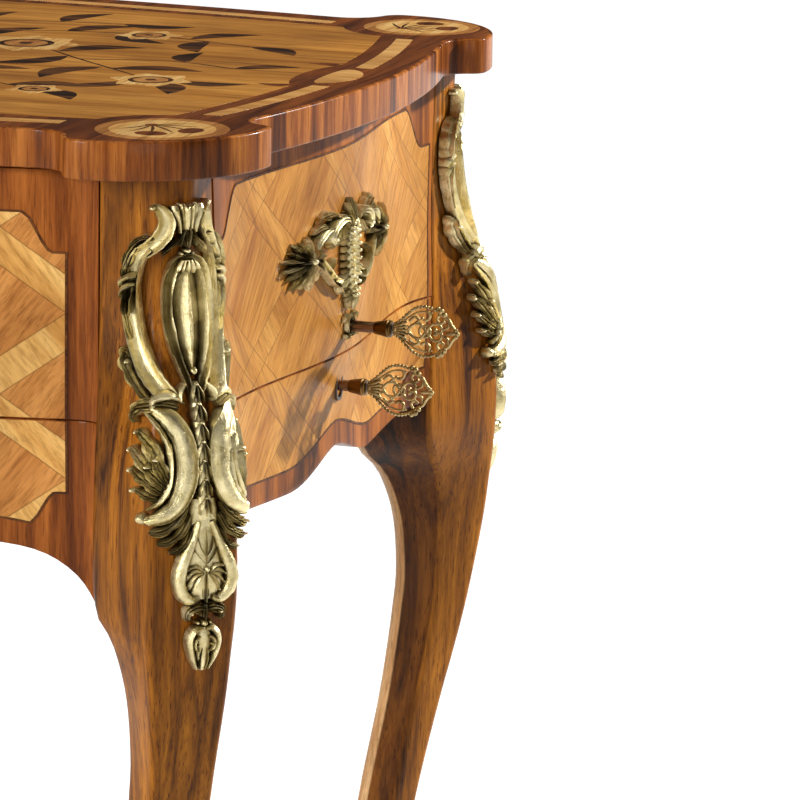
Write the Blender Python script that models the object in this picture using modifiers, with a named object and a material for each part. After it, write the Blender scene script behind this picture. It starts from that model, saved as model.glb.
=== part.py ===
"""Mechanical writing desk in a French eighteenth-century manner: separate pieces, metres, +Z up.

Turning the crank key turns two pinions. Racks under the main drawer bring it forward, while idler
gears push racks under the table top backwards. The lower right section is a drawer with a lock.
"""

import math

import bmesh
import bpy
from mathutils import Matrix, Vector

for old in list(bpy.data.objects):
    bpy.data.objects.remove(old, do_unlink=True)

# Overall sizes, and the gaps between pieces
HEIGHT = 0.770
CORNER_X = 0.390  # from the desk's middle to the centre of a corner lobe of the top
CORNER_Y = 0.1983
FIT = 0.0003  # between pieces that touch
WALL_SEAM = 0.0006  # between the walls and the legs
GLIDE = 0.0007  # beside pieces that slide
DRAWER_REVEAL = 0.0012  # the dark line round a drawer front
AXIS_MARK = 0.03  # drawn size of the joints' empties

# Table top: round corner lobes, notches beside them and bowed edges
TOP_THICK = 0.020
TOP_EDGE_ROUND = 0.004
LOBE_RADIUS = 0.072
LOBE_INSET = 0.0254
EDGE_BOW = 0.047  # how far the middle of each edge lies outside the corner lines
SIDE_NOTCH = 0.030
SIDE_RETURN_ROUND = 0.009
SIDE_RETURN_HOLLOW = 0.015
FRONT_NOTCH = 0.023
FRONT_RETURN_ROUND = 0.012
FRONT_RETURN_HOLLOW = 0.020
BOW_ANGLE = math.radians(10)
EDGE_STEPS = 5
HOLLOW_STEPS = 3
ROUND_STEPS = 2
LOBE_STEPS = 6

# Gear train, from the top downwards
MODULE = 0.003
PRESSURE_ANGLE = math.radians(25)
PINION_TEETH = 8
IDLER_TEETH = 32
TOOTH_SHARE = 0.42  # tooth thickness as a share of the pitch
ADDENDUM = 0.0021
DEDENDUM = 0.0027
RACK_BACK = 0.0045  # from a rack's pitch line to its back
TRAVEL = 0.160  # of the drawer forwards, and of the top backwards
GEAR_WIDTH = 0.007
ROD_SIDES = 24
SHAFT_RADIUS = 0.006
SHAFT_NOSE_RADIUS = 0.004
AXLE_RADIUS = 0.006
AXLE_SHOULDER = 0.010
AXLE_HEAD = 0.009
AXLE_HEAD_LENGTH = 0.0027
BEARING_LENGTH = 0.009
BEARING_HALF_WIDTH = 0.015
BEARING_RISE = 0.014  # of the bearing block above the shaft's axis

# Carcass
PANEL_BACK = 0.004  # inner faces of the panels, inside the corner lines
KEYHOLE_MARGIN = 0.0142  # from the crank's axis down to the line between the sections, clear of its bow
LOWER_DEPTH = 0.049  # from that line down to the middle of the aprons
DUST_DROP = 0.0043  # from that line down to the dust board
DUST_THICK = 0.006
SHADOW_GAP = 0.0003  # half the joint between the upper and lower sections
PANEL_TOP_GAP = 0.0005
FRONT_VALLEY_X = 0.350
FRONT_LIP = 0.0027
FRONT_BOW_POWER = 4
SIDE_VALLEY_Y = 0.130
FRONT_COLUMNS = 20  # faces along a wall
SIDE_COLUMNS = 25  # odd, so that the keyholes lie within the middle one
APRON_SHOULDER_X = 0.310
APRON_SHOULDER_DROP = 0.015
APRON_EAR_DROP = 0.026
SIDE_ARCH_Y = 0.065
SIDE_ARCH_DROP = 0.002  # from the top of the front's arch to the top of a side's
SIDE_ARCH_RISE = 0.0135
SIDE_ARCH_POWER = 1.6
SIDE_EAR_RISE = 0.009
SIDE_EAR_POWER = 1.5

# Outward bulge of the walls at heights below the table top's surface: (drop, bulge)
SIDE_MIDDLE_BULGE = (
    (0.020, 0.024),
    (0.140, 0.027),
    (0.150, 0.0255),
    (0.165, 0.022),
    (0.182, 0.0205),
    (0.215, 0.022),
)
SIDE_VALLEY_BULGE = ((0.020, 0.013), (0.142, 0.0145), (0.215, 0.013))
FRONT_MIDDLE_BULGE = (
    (0.020, 0.030),
    (0.140, 0.034),
    (0.150, 0.0325),
    (0.165, 0.029),
    (0.182, 0.0275),
    (0.215, 0.029),
)
FRONT_VALLEY_BULGE = ((0.020, 0.009), (0.142, 0.010), (0.245, 0.009))

# Cabriole legs, measured outwards from the corner lines. A row holds: the middle of the corner facet,
# its half width, the inner edge of the side faces, and the depth inwards behind the front and the side
LEG_UPPER_ROWS = (  # drop below the top's surface first
    (0.0200, 0.0130, 0.0060, 0.0167, 0.0267, 0.0250),
    (0.0350, 0.0125, 0.0060, 0.0167, 0.0267, 0.0260),
    (0.0710, 0.0110, 0.0065, 0.0170, 0.0267, 0.0290),
    (0.1050, 0.0150, 0.0080, 0.0180, 0.0268, 0.0325),
    (0.1400, 0.0230, 0.0120, 0.0200, 0.0272, 0.0350),
    (0.1650, 0.0265, 0.0150, 0.0212, 0.0277, 0.0380),
    (0.1860, 0.0280, 0.0160, 0.0220, 0.0280, 0.0415),
    (0.2080, 0.0287, 0.0165, 0.0222, 0.0283, 0.0432),
    (0.2190, 0.0286, 0.0165, 0.0222, 0.0283, 0.0440),
    (0.2300, 0.0283, 0.0165, 0.0220, 0.0280, 0.0410),
    (0.2440, 0.0276, 0.0162, 0.0216, 0.0258, 0.0300),
    (0.2560, 0.0268, 0.0157, 0.0209, 0.0185, 0.0210),
    (0.2820, 0.0250, 0.0145, 0.0195, 0.0118, 0.0140),
    (0.3150, 0.0215, 0.0125, 0.0172, 0.0102, 0.0110),
    (0.3400, 0.0180, 0.0115, 0.0155, 0.0120, 0.0120),
    (0.3660, 0.0135, 0.0105, 0.0120, 0.0145, 0.0145),
    (0.3950, 0.0080, 0.0097, 0.0070, 0.0180, 0.0180),
    (0.4450, -0.0005, 0.0087, -0.0010, 0.0255, 0.0255),
)
LEG_LOWER_ROWS = (  # height above the floor first
    (0.270, -0.0080, 0.0080, -0.0090, 0.0320, 0.0320),
    (0.210, -0.0138, 0.0076, -0.0158, 0.0375, 0.0375),
    (0.160, -0.0160, 0.0075, -0.0185, 0.0400, 0.0400),
    (0.110, -0.0145, 0.0078, -0.0172, 0.0390, 0.0390),
    (0.065, -0.0085, 0.0086, -0.0120, 0.0355, 0.0355),
    (0.035, -0.0025, 0.0094, -0.0072, 0.0325, 0.0325),
    (0.015, 0.0022, 0.0100, -0.0040, 0.0305, 0.0305),
    (0.003, 0.0040, 0.0100, -0.0030, 0.0300, 0.0300),
)
LEG_INNER_CHAMFER = 0.006
SABOT_HEIGHT = 0.058
SABOT_WALL = 0.0035
SABOT_EASE = 0.0006  # between a leg and its sabot
SABOT_SOLE = 0.0027

# Main drawer
DRAWER_TOP_GAP = 0.002
DRAWER_SIDE_GAP = 0.0073  # from the posts to the drawer's sides
DRAWER_SIDE_THICK = 0.010
DRAWER_WALL_TOP = 0.030  # from the table top's surface down to the drawer's walls
DRAWER_BACK_Y = 0.170
DRAWER_BACK_THICK = 0.010
DRAWER_BOTTOM_THICK = 0.005
RUNNER_RISE = 0.008  # from the drawer's lower edge up to the runner
RUNNER_HEIGHT = 0.008
RUNNER_GROOVE = 0.005
RUNNER_END_GAP = 0.0023  # from a runner to the back panel and the drawer's front
PARTITION_X = 0.120
PARTITION_THICK = 0.008
LEDGE_WIDTH = 0.008
LEDGE_HEIGHT = 0.008
SLOPE_DROP = 0.074  # from the table top's surface down to the writing slope's face
SLOPE_THICK = 0.008
SLOPE_FRONT_Y = -0.188
SLOPE_DEPTH = 0.190
LEDGE_SETBACK = 0.032  # from the slope's front edge to the ledges under it
SLOPE_PIN_RADIUS = 0.002
PIN_SIDES = 12
SLOPE_PIN_REACH = 0.004
SLOPE_PIN_INSET = 0.006
LEATHER_THICK = 0.0015
LEATHER_BORDER = 0.014
LID_DROP = 0.036
LID_THICK = 0.005
LID_GROOVE = 0.004
LID_LENGTH = 0.172
LID_LIP_HEIGHT = 0.006
LID_LIP_THICK = 0.004

# Table top's guides
GUIDE_WIDTH = 0.0087
GUIDE_HEIGHT = 0.020
GUIDE_TOP_GAP = 0.002
TONGUE_HEIGHT = 0.005
TONGUE_REACH = 0.004
TONGUE_DROP = 0.010  # from the table top's underside down to the tongue
WEB_THICK = 0.004
RACK_OVERRUN = 0.006  # of the racks past their travel

# Side drawer and its lock
RAIL_POST_GAP = 0.0011  # from the rails to the deepest part of the legs
SIDE_DRAWER_WALL = 0.009
SIDE_DRAWER_LENGTH = 0.220
SIDE_DRAWER_HEIGHT = 0.027
SIDE_DRAWER_HEAD_GAP = 0.003
SIDE_BOTTOM_THICK = 0.005
RAIL_SHELF = 0.006
RAIL_WEB = 0.0045
RAIL_GRIP = 0.011
DRAWER_KEY_DROP = 0.0185  # from the line between the sections down to the lower key
LOCK_DEPTH = 0.0135
LOCK_HALF_WIDTH = 0.024
LOCK_HEIGHT = 0.021
BOLT_THICK = 0.005
BOLT_WIDTH = 0.010
BOLT_HEIGHT = 0.0145
BOLT_OFFSET = 0.013
BOLT_INSET = 0.0045
LINER_HALF_WIDTH = 0.005
LINER_HALF_HEIGHT = 0.0085
LINER_LENGTH = 0.0085
LINER_WALL = 0.0018
LINER_PROUD = 0.0012

# Keys
KEY_SIDES = 16
KEY_STEM_RADIUS = 0.0030
KEY_STEM_EASE = 0.0004
KEY_SQUARE = 0.0040
KEY_SOCKET_DEPTH = 0.022
CRANK_KEY_REACH = 0.0255  # from the wall to the key's bow
DRAWER_KEY_REACH = 0.0165
COLLAR_RADIUS = 0.0048
COLLAR_LENGTH = 0.006
BOW_LENGTH = 0.038
BOW_HALF_HEIGHT = 0.0142
BOW_THICK = 0.0036
BOW_RIM = 0.0034
BOW_MIDDLE = 0.56  # of its length, from the neck to the middle of its round part
BOW_NECK = 0.7  # of the collar's radius
BOW_STEPS = 36
BOW_NECK_STEPS = 3  # left open for the neck at each side
BOW_LOBES = 8
BOW_LOBE_DEPTH = 0.05
BOW_HOLE_TURNS = (45, 135, 225, 315)
BOW_HOLE_OUT = 0.625  # shares of the room inside the rim
BOW_HOLE_REACH_X = 0.34
BOW_HOLE_REACH_Z = 0.36
BOW_HOLE_SIDES = 10

# Gilt mounts
MOUNT_GAP = 0.0005
MOUNT_DEPTH = 0.006
ESCUTCHEON_DEPTH = 0.0045
KEYHOLE_RING_RADIUS = 0.0062
KEYHOLE_RING_HALF_WIDTH = 0.0014
KEYHOLE_RING_STEPS = 16
STRAP_PROFILE = ((-1, 0), (-0.7, 0.75), (0, 1), (0.7, 0.75), (1, 0))  # shares of half width and depth
STRAP_THIN_SHARE = 0.35  # of the depth, at a strap's pointed end
STRAP_FULL_WIDTH = 0.007

# Heights and places that follow from the sizes above
UNDER_TOP = HEIGHT - TOP_THICK
PINION_RADIUS = MODULE * PINION_TEETH / 2
IDLER_RADIUS = MODULE * IDLER_TEETH / 2
TOP_RACK_Z = UNDER_TOP - FIT - RACK_BACK
IDLER_Z = TOP_RACK_Z - IDLER_RADIUS
SHAFT_Z = IDLER_Z - IDLER_RADIUS - PINION_RADIUS
DRAWER_RACK_Z = SHAFT_Z + PINION_RADIUS
SPLIT_Z = SHAFT_Z - KEYHOLE_MARGIN
APRON_Z = SPLIT_Z - LOWER_DEPTH
DUST_TOP_Z = SPLIT_Z - DUST_DROP
DUST_LOW_Z = DUST_TOP_Z - DUST_THICK
LOWER_TOP_Z = SPLIT_Z - SHADOW_GAP
PANEL_TOP_Z = UNDER_TOP - PANEL_TOP_GAP
DRAWER_LOW_Z = DRAWER_RACK_Z + RACK_BACK + FIT
DRAWER_FRONT_LOW_Z = SPLIT_Z + SHADOW_GAP
DRAWER_FLOOR_Z = DRAWER_LOW_Z + DRAWER_BOTTOM_THICK
DRAWER_WALL_Z = HEIGHT - DRAWER_WALL_TOP
DRAWER_KEY_Z = SPLIT_Z - DRAWER_KEY_DROP
PANEL_X = CORNER_X - PANEL_BACK
PANEL_Y = CORNER_Y - PANEL_BACK
GUIDE_X = PANEL_X - FIT - GUIDE_WIDTH
WEB_X = GUIDE_X - GLIDE
GEAR_END_X = WEB_X - WEB_THICK
GEAR_X = GEAR_END_X - GEAR_WIDTH
DRAWER_SIDE_X = CORNER_X - LEG_UPPER_ROWS[0][4] - DRAWER_SIDE_GAP - DRAWER_SIDE_THICK
SLOPE_FACE_Z = HEIGHT - SLOPE_DROP
SLOPE_AXIS_Y = SLOPE_FRONT_Y + SLOPE_PIN_INSET
SLOPE_AXIS_Z = SLOPE_FACE_Z - SLOPE_THICK / 2
LID_LOW_Z = HEIGHT - LID_DROP - LID_THICK
RUNNER_HALF_LENGTH = PANEL_Y - RUNNER_END_GAP
LEG_MOST_DEPTH = max(row[5] for row in LEG_UPPER_ROWS)
SIDE_DRAWER_HALF_WIDTH = CORNER_Y - LEG_MOST_DEPTH - RAIL_POST_GAP - RAIL_WEB - GLIDE
SIDE_DRAWER_TOP_Z = DUST_LOW_Z - SIDE_DRAWER_HEAD_GAP
SIDE_DRAWER_LOW_Z = SIDE_DRAWER_TOP_Z - SIDE_DRAWER_HEIGHT
SIDE_BOX_X = PANEL_X - FIT
LOCK_X = SIDE_BOX_X - LOCK_DEPTH
BOLT_X = LOCK_X + BOLT_INSET

COLOURS = {  # base colour, roughness, metallic
    "walnut": ((0.30, 0.14, 0.05), 0.35, 0.0),
    "banded_wood": ((0.45, 0.22, 0.08), 0.32, 0.0),
    "drawer_oak": ((0.52, 0.36, 0.18), 0.5, 0.0),
    "gilt_bronze": ((0.70, 0.55, 0.28), 0.35, 1.0),
    "brass": ((0.66, 0.50, 0.22), 0.35, 1.0),
    "steel": ((0.22, 0.17, 0.13), 0.4, 1.0),
    "leather": ((0.16, 0.07, 0.04), 0.55, 0.0),
}

parts = bpy.data.collections.new("mechanical_writing_desk")
helpers = bpy.data.collections.new("cutters")
bpy.context.scene.collection.children.link(parts)
bpy.context.scene.collection.children.link(helpers)


# Helpers for objects, materials and parents


def material(name, kind):
    colour, roughness, metallic = COLOURS[kind]
    made = bpy.data.materials.new(name)
    made.use_nodes = True
    shader = made.node_tree.nodes["Principled BSDF"]
    shader.inputs["Base Color"].default_value = (*colour, 1.0)
    shader.inputs["Roughness"].default_value = roughness
    shader.inputs["Metallic"].default_value = metallic
    made.diffuse_color = (*colour, 1.0)
    return made


def axis(name, place, parent=None):
    """An empty on a joint's axis, or at the root, which carries the pieces that move together."""
    empty = bpy.data.objects.new(name, None)
    empty.empty_display_size = AXIS_MARK
    empty.location = place
    parts.objects.link(empty)
    if parent:
        keep_place(empty, parent)
    return empty


def keep_place(obj, parent):
    """Parents the object while its location stays in the desk's own coordinates."""
    obj.parent = parent
    obj.matrix_parent_inverse = Matrix.Translation(parent.location).inverted()


def piece(name, mesh, kind, parent, place=(0, 0, 0), smooth=None):
    """One sub-part: its mesh at a place, with its own material, under the empty that carries it."""
    obj = bpy.data.objects.new(name, mesh)
    mesh.materials.clear()
    mesh.materials.append(material(name, kind))
    if smooth:
        mesh.shade_smooth()
        mesh.set_sharp_from_angle(angle=math.radians(smooth))
    obj.location = place
    parts.objects.link(obj)
    keep_place(obj, parent)
    return obj


def helper(name, mesh, place=(0, 0, 0)):
    """A cutter, or a shape that is joined to a piece."""
    obj = bpy.data.objects.new(name, mesh)
    obj.location = place
    obj.hide_render = True
    obj.display_type = "WIRE"
    helpers.objects.link(obj)
    keep_place(obj, desk)
    return obj


def boolean(obj, other, operation="DIFFERENCE", solver="EXACT"):
    change = obj.modifiers.new(f"{operation.lower()} {other.name}", "BOOLEAN")
    change.operation = operation
    change.solver = solver
    change.object = other


# Meshes


def finished(bm, name):
    bmesh.ops.recalc_face_normals(bm, faces=bm.faces)
    mesh = bpy.data.meshes.new(name)
    bm.to_mesh(mesh)
    bm.free()
    return mesh


def box_mesh(name, low, high):
    """A box between two corners."""
    size = Vector(high) - Vector(low)
    centre = (Vector(high) + Vector(low)) / 2
    bm = bmesh.new()
    bmesh.ops.create_cube(bm, size=1, matrix=Matrix.Translation(centre) @ Matrix.Diagonal((*size, 1)))
    return finished(bm, name)


def rod_mesh(name, spans, sides=ROD_SIDES):
    """Round steps along X, each (start, end, radius), on one axis, as a turned outline."""
    bm = bmesh.new()
    rings = []
    for start, end, radius in spans:
        for x in (start, end):
            angles = [2 * math.pi * i / sides for i in range(sides)]
            rings.append([(x, radius * math.cos(a), radius * math.sin(a)) for a in angles])
    add_loft(bm, rings)
    return finished(bm, name)


def add_loft(bm, rings):
    """Skins over rings of equally many points, with a face at each end."""
    rows = [[bm.verts.new(point) for point in ring] for ring in rings]
    count = len(rows[0])
    for lower, upper in zip(rows, rows[1:]):
        for i in range(count):
            j = (i + 1) % count
            bm.faces.new((lower[i], lower[j], upper[j], upper[i]))
    bm.faces.new(rows[0][::-1])
    bm.faces.new(rows[-1])


def loft_mesh(name, rings):
    bm = bmesh.new()
    add_loft(bm, rings)
    return finished(bm, name)


def plate_mesh(name, outlines, thickness, turn=Matrix.Identity(4)):
    """A flat plate with straight edges from closed outlines, the later ones holes, turned into place."""
    curve = bpy.data.curves.new(name, "CURVE")
    curve.dimensions = "2D"
    curve.fill_mode = "BOTH"
    curve.extrude = thickness / 2
    for outline in outlines:
        spline = curve.splines.new("POLY")
        spline.points.add(len(outline) - 1)
        spline.use_cyclic_u = True
        for point, (x, y) in zip(spline.points, outline):
            point.co = (x, y, 0, 1)
    drawn = bpy.data.objects.new(name, curve)
    helpers.objects.link(drawn)
    graph = bpy.context.evaluated_depsgraph_get()
    flat = bpy.data.meshes.new_from_object(drawn.evaluated_get(graph))
    bpy.data.objects.remove(drawn)
    bm = bmesh.new()
    bm.from_mesh(flat)
    bmesh.ops.remove_doubles(bm, verts=bm.verts, dist=1e-6)
    bmesh.ops.transform(bm, matrix=turn, verts=bm.verts)
    return finished(bm, name)


ACROSS_X = Matrix(((0, 0, 1, 0), (1, 0, 0, 0), (0, 1, 0, 0), (0, 0, 0, 1)))  # outline in Y and Z
ACROSS_Y = Matrix(((1, 0, 0, 0), (0, 0, -1, 0), (0, 1, 0, 0), (0, 0, 0, 1)))  # outline in X and Z


def wall_mesh(name, half_width, low, high, surface, back, columns, rows, facing):
    """A wall with a flat back and a bulging face: a grid that is bent, then pushed to the back plane.

    facing puts (along, outward, height) into the desk's coordinates.
    """
    bm = bmesh.new()
    bmesh.ops.create_grid(bm, x_segments=columns, y_segments=rows, size=1)
    for vert in bm.verts:
        share = math.sin(math.pi / 2 * vert.co.x)  # closer columns towards the ends
        floor = low(share * half_width(high))
        height = floor + (high - floor) * (vert.co.y + 1) / 2
        along = share * half_width(height)
        vert.co = (along, surface(along, height), height)
    pushed = bmesh.ops.extrude_face_region(bm, geom=bm.faces[:])
    for item in pushed["geom"]:
        if isinstance(item, bmesh.types.BMVert):
            item.co.y = back
    for vert in bm.verts:
        vert.co = facing(*vert.co)
    return finished(bm, name)


# Outlines and surfaces


def blend(rows, at):
    """Straight-line value at a place in rows of (place, value, ...), as a list of the row's values."""
    rows = sorted(rows)
    at = min(max(at, rows[0][0]), rows[-1][0])
    for low, high in zip(rows, rows[1:]):
        if at <= high[0]:
            share = (at - low[0]) / (high[0] - low[0])
            return [a + (b - a) * share for a, b in zip(low[1:], high[1:])]


def arc(centre, radius, start, end, steps):
    angles = [start + (end - start) * i / steps for i in range(steps + 1)]
    return [(centre[0] + radius * math.cos(a), centre[1] + radius * math.sin(a)) for a in angles]


def edge_run(half_length, notch, rounded, hollow):
    """From the middle of an edge to its corner lobe, as (along, outward) from the corner line."""
    lobe_out = LOBE_RADIUS - LOBE_INSET
    cosine = (rounded + hollow * math.cos(BOW_ANGLE) - (lobe_out - notch)) / (rounded + hollow)
    turn = math.acos(cosine)
    lobe_along = half_length - LOBE_INSET
    round_end = arc((lobe_along, lobe_out - rounded), rounded, math.pi / 2 + turn, math.pi / 2, ROUND_STEPS)
    meet = round_end[0]
    centre = (meet[0] - hollow * math.sin(turn), meet[1] + hollow * math.cos(turn))
    hollow_arc = arc(centre, hollow, -math.pi / 2 - BOW_ANGLE, -math.pi / 2 + turn, HOLLOW_STEPS)
    start = hollow_arc[0]
    bow = []
    for i in range(EDGE_STEPS):
        share = i / EDGE_STEPS
        bow.append((start[0] * share, EDGE_BOW + (start[1] - EDGE_BOW) * share**2))
    return bow + hollow_arc[:-1] + round_end[:-1]


def top_outline():
    """The table top's outline, one quarter mirrored into four."""
    side = edge_run(CORNER_Y, SIDE_NOTCH, SIDE_RETURN_ROUND, SIDE_RETURN_HOLLOW)
    front = edge_run(CORNER_X, FRONT_NOTCH, FRONT_RETURN_ROUND, FRONT_RETURN_HOLLOW)
    quarter = [(CORNER_X + out, along) for along, out in side]
    quarter += arc((CORNER_X - LOBE_INSET, CORNER_Y - LOBE_INSET), LOBE_RADIUS, 0, math.pi / 2, LOBE_STEPS)
    quarter += [(along, CORNER_Y + out) for along, out in front[::-1]]
    left = [(-x, y) for x, y in quarter[::-1]]
    back_half = quarter + left[1:]
    front_half = [(x, -y) for x, y in back_half[::-1]]
    return back_half + front_half[1:-1]


LEG_ROWS = [(HEIGHT - drop, *rest) for drop, *rest in LEG_UPPER_ROWS] + list(LEG_LOWER_ROWS)


def leg_at(z):
    """The leg's facet middle, facet half width, side face edge, and depths behind front and side."""
    return blend(LEG_ROWS, z)


def leg_heights(low, high):
    """The heights of the leg's rows between two levels, and those levels."""
    return [low] + sorted(row[0] for row in LEG_ROWS if low + FIT < row[0] < high - FIT) + [high]


def leg_section(z, grow=0.0):
    """The leg's outline at a height, outwards from the corner lines, grown about its middle."""
    facet, half, edge, behind_front, behind_side = leg_at(z)
    points = [
        (edge, -behind_side),
        (facet + half, facet - half),
        (facet - half, facet + half),
        (-behind_front, edge),
        (-behind_front, -behind_side + LEG_INNER_CHAMFER),
        (-behind_front + LEG_INNER_CHAMFER, -behind_side),
    ]
    middle = sum((Vector(p) for p in points), Vector((0, 0))) / len(points)
    return [Vector(p) + (Vector(p) - middle).normalized() * grow for p in points]


def corner_ring(section, z, sign_x, sign_y):
    ring = [(sign_x * (CORNER_X + u), sign_y * (CORNER_Y + v), z) for u, v in section]
    return ring if sign_x * sign_y > 0 else ring[::-1]


def side_half_width(z):
    return CORNER_Y - leg_at(z)[4] - WALL_SEAM


def front_half_width(z):
    return CORNER_X - max(row[4] for row in LEG_UPPER_ROWS) - WALL_SEAM


def side_drawer_half_width(z):
    return side_half_width(z) + WALL_SEAM - DRAWER_REVEAL


def main_drawer_half_width(z):
    return CORNER_X - leg_at(SPLIT_Z)[3] - DRAWER_REVEAL


def side_bulge(y, z):
    """How far a side wall lies outside the corner line: bowed in the middle, hollow, then up to the leg."""
    drop = HEIGHT - z
    valley = blend(SIDE_VALLEY_BULGE, drop)[0]
    middle = blend(SIDE_MIDDLE_BULGE, drop)[0]
    beyond = abs(y) - SIDE_VALLEY_Y
    if beyond < 0:
        return valley + (middle - valley) * math.cos(math.pi / 2 * abs(y) / SIDE_VALLEY_Y) ** 2
    edge = leg_at(z)[2]
    return valley + (edge - valley) * (beyond / (side_half_width(z) - SIDE_VALLEY_Y)) ** 2


def front_bulge(x, z):
    """The same for the front and back walls, which lie back from the legs at their ends."""
    drop = HEIGHT - z
    valley = blend(FRONT_VALLEY_BULGE, drop)[0]
    middle = blend(FRONT_MIDDLE_BULGE, drop)[0]
    share = abs(x) / FRONT_VALLEY_X
    if share < 1:
        return valley + (middle - valley) * (1 - share**FRONT_BOW_POWER)
    return valley + FRONT_LIP * ((abs(x) - FRONT_VALLEY_X) / (front_half_width(z) - FRONT_VALLEY_X)) ** 2


def front_low(x):
    """Lower edge of the front and back aprons: a shallow arch with ears against the legs."""
    ear = max(0.0, (abs(x) - APRON_SHOULDER_X) / (front_half_width(SPLIT_Z) - APRON_SHOULDER_X))
    return APRON_Z - APRON_SHOULDER_DROP * (x / APRON_SHOULDER_X) ** 2 - APRON_EAR_DROP * ear**3


def side_low(y):
    """Lower edge of the side aprons: a pointed arch in the middle, then slowly up to the legs."""
    arch = math.sin(math.pi / 2 * min(abs(y) / SIDE_ARCH_Y, 1.0)) ** SIDE_ARCH_POWER
    ear = max(0.0, abs(y) - SIDE_ARCH_Y) / (CORNER_Y - SIDE_ARCH_Y)
    return APRON_Z - SIDE_ARCH_DROP - SIDE_ARCH_RISE * arch + SIDE_EAR_RISE * ear**SIDE_EAR_POWER


def level(z):
    return lambda along: z


FACING = {
    "right": lambda along, out, z: (CORNER_X + out, along, z),
    "left": lambda along, out, z: (-CORNER_X - out, along, z),
    "front": lambda along, out, z: (along, -CORNER_Y - out, z),
    "back": lambda along, out, z: (along, CORNER_Y + out, z),
}


# Gears


def involute(angle):
    return math.tan(angle) - angle


def gear_outline(teeth, phase):
    """An involute gear's outline in a plane, with a tooth's middle at the phase angle."""
    pitch = MODULE * teeth / 2
    base = pitch * math.cos(PRESSURE_ANGLE)
    half_tooth = math.pi * TOOTH_SHARE / teeth
    root = pitch - DEDENDUM
    radii = [root, base, pitch, pitch + ADDENDUM] if base > root else [root, pitch, pitch + ADDENDUM]
    flank = []
    for radius in radii:
        lean = math.acos(min(1.0, base / max(radius, base)))
        flank.append((radius, half_tooth + involute(PRESSURE_ANGLE) - involute(lean)))
    outline = []
    for tooth in range(teeth):
        middle = phase + 2 * math.pi * tooth / teeth
        sides = [(r, middle - a) for r, a in flank] + [(r, middle + a) for r, a in flank[::-1]]
        outline += [(r * math.cos(a), r * math.sin(a)) for r, a in sides]
    return outline


def rack_outline(start, end, gap_at_zero):
    """A rack's outline with teeth downwards, pitch line at height 0, from start to end."""
    pitch = math.pi * MODULE
    slope = math.tan(PRESSURE_ANGLE)
    tip = pitch * TOOTH_SHARE / 2 - ADDENDUM * slope
    root = pitch * TOOTH_SHARE / 2 + DEDENDUM * slope
    outline = [(start, RACK_BACK), (start, DEDENDUM)]
    first = math.ceil((start + root) / pitch - 0.5 * gap_at_zero)
    last = math.floor((end - root) / pitch - 0.5 * gap_at_zero)
    for tooth in range(first, last + 1):
        middle = (tooth + 0.5 * gap_at_zero) * pitch
        outline += [(middle - root, DEDENDUM), (middle - tip, -ADDENDUM)]
        outline += [(middle + tip, -ADDENDUM), (middle + root, DEDENDUM)]
    return outline + [(end, DEDENDUM), (end, RACK_BACK)]


# Gilt straps, which lie on a surface


def strap_mesh(name, path, surface, depth):
    """A raised strap with a rounded back along rows of (across, up, half width) on a surface."""
    rings = []
    for i, (across, up, half) in enumerate(path):
        before = path[max(i - 1, 0)]
        after = path[min(i + 1, len(path) - 1)]
        run = Vector((after[0] - before[0], after[1] - before[1])).normalized()
        side = Vector((-run.y, run.x))
        thick = depth * min(1.0, STRAP_THIN_SHARE + half / STRAP_FULL_WIDTH)
        ring = []
        for share, rise in STRAP_PROFILE:
            spot = Vector((across, up)) + side * half * share
            ring.append(surface(spot.x, spot.y, MOUNT_GAP + rise * thick))
        rings.append(ring)
    return loft_mesh(name, rings)


def mirrored(paths):
    return list(paths) + [[(-across, up, half) for across, up, half in path] for path in paths]


def strap_work(name, kind, parent, paths, surface, depth):
    """Straps joined into one pierced mount."""
    group = bpy.data.collections.new(f"{name} straps")
    helpers.children.link(group)
    whole = piece(name, strap_mesh(name, paths[0], surface, depth), kind, parent, smooth=40)
    for number, path in enumerate(paths[1:]):
        part = helper(f"{name} strap {number}", strap_mesh(name, path, surface, depth))
        helpers.objects.unlink(part)
        group.objects.link(part)
    join = whole.modifiers.new("joined straps", "BOOLEAN")
    join.operation = "UNION"
    join.solver = "EXACT"
    join.operand_type = "COLLECTION"
    join.collection = group
    return whole


desk = axis("desk", (0, 0, 0))
top_axis = axis("top_slide", (0, 0, UNDER_TOP), desk)
drawer_axis = axis("drawer_slide", (0, 0, DRAWER_LOW_Z), desk)
crank_axis = axis("crank_turn", (0, 0, SHAFT_Z), desk)
side_drawer_axis = axis("side_drawer_slide", (CORNER_X, 0, DRAWER_KEY_Z), desk)
slope_axis = axis("slope_tilt", (0, SLOPE_AXIS_Y, SLOPE_AXIS_Z), drawer_axis)
drawer_key_axis = axis("drawer_key_turn", (CORNER_X, 0, DRAWER_KEY_Z), side_drawer_axis)
bolt_axis = axis("bolt_slide", (BOLT_X, BOLT_OFFSET, DRAWER_KEY_Z), side_drawer_axis)
SIDES = (("left", -1), ("right", 1))
ENDS = (("front", -1), ("back", 1))


# Table top


def table_top():
    mesh = plate_mesh("table_top", [top_outline()], TOP_THICK)
    top = piece("table_top", mesh, "banded_wood", top_axis, (0, 0, HEIGHT - TOP_THICK / 2))
    soften = top.modifiers.new("rounded edge", "BEVEL")
    soften.width = TOP_EDGE_ROUND
    soften.segments = 2
    soften.limit_method = "ANGLE"
    soften.angle_limit = math.radians(60)


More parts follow.
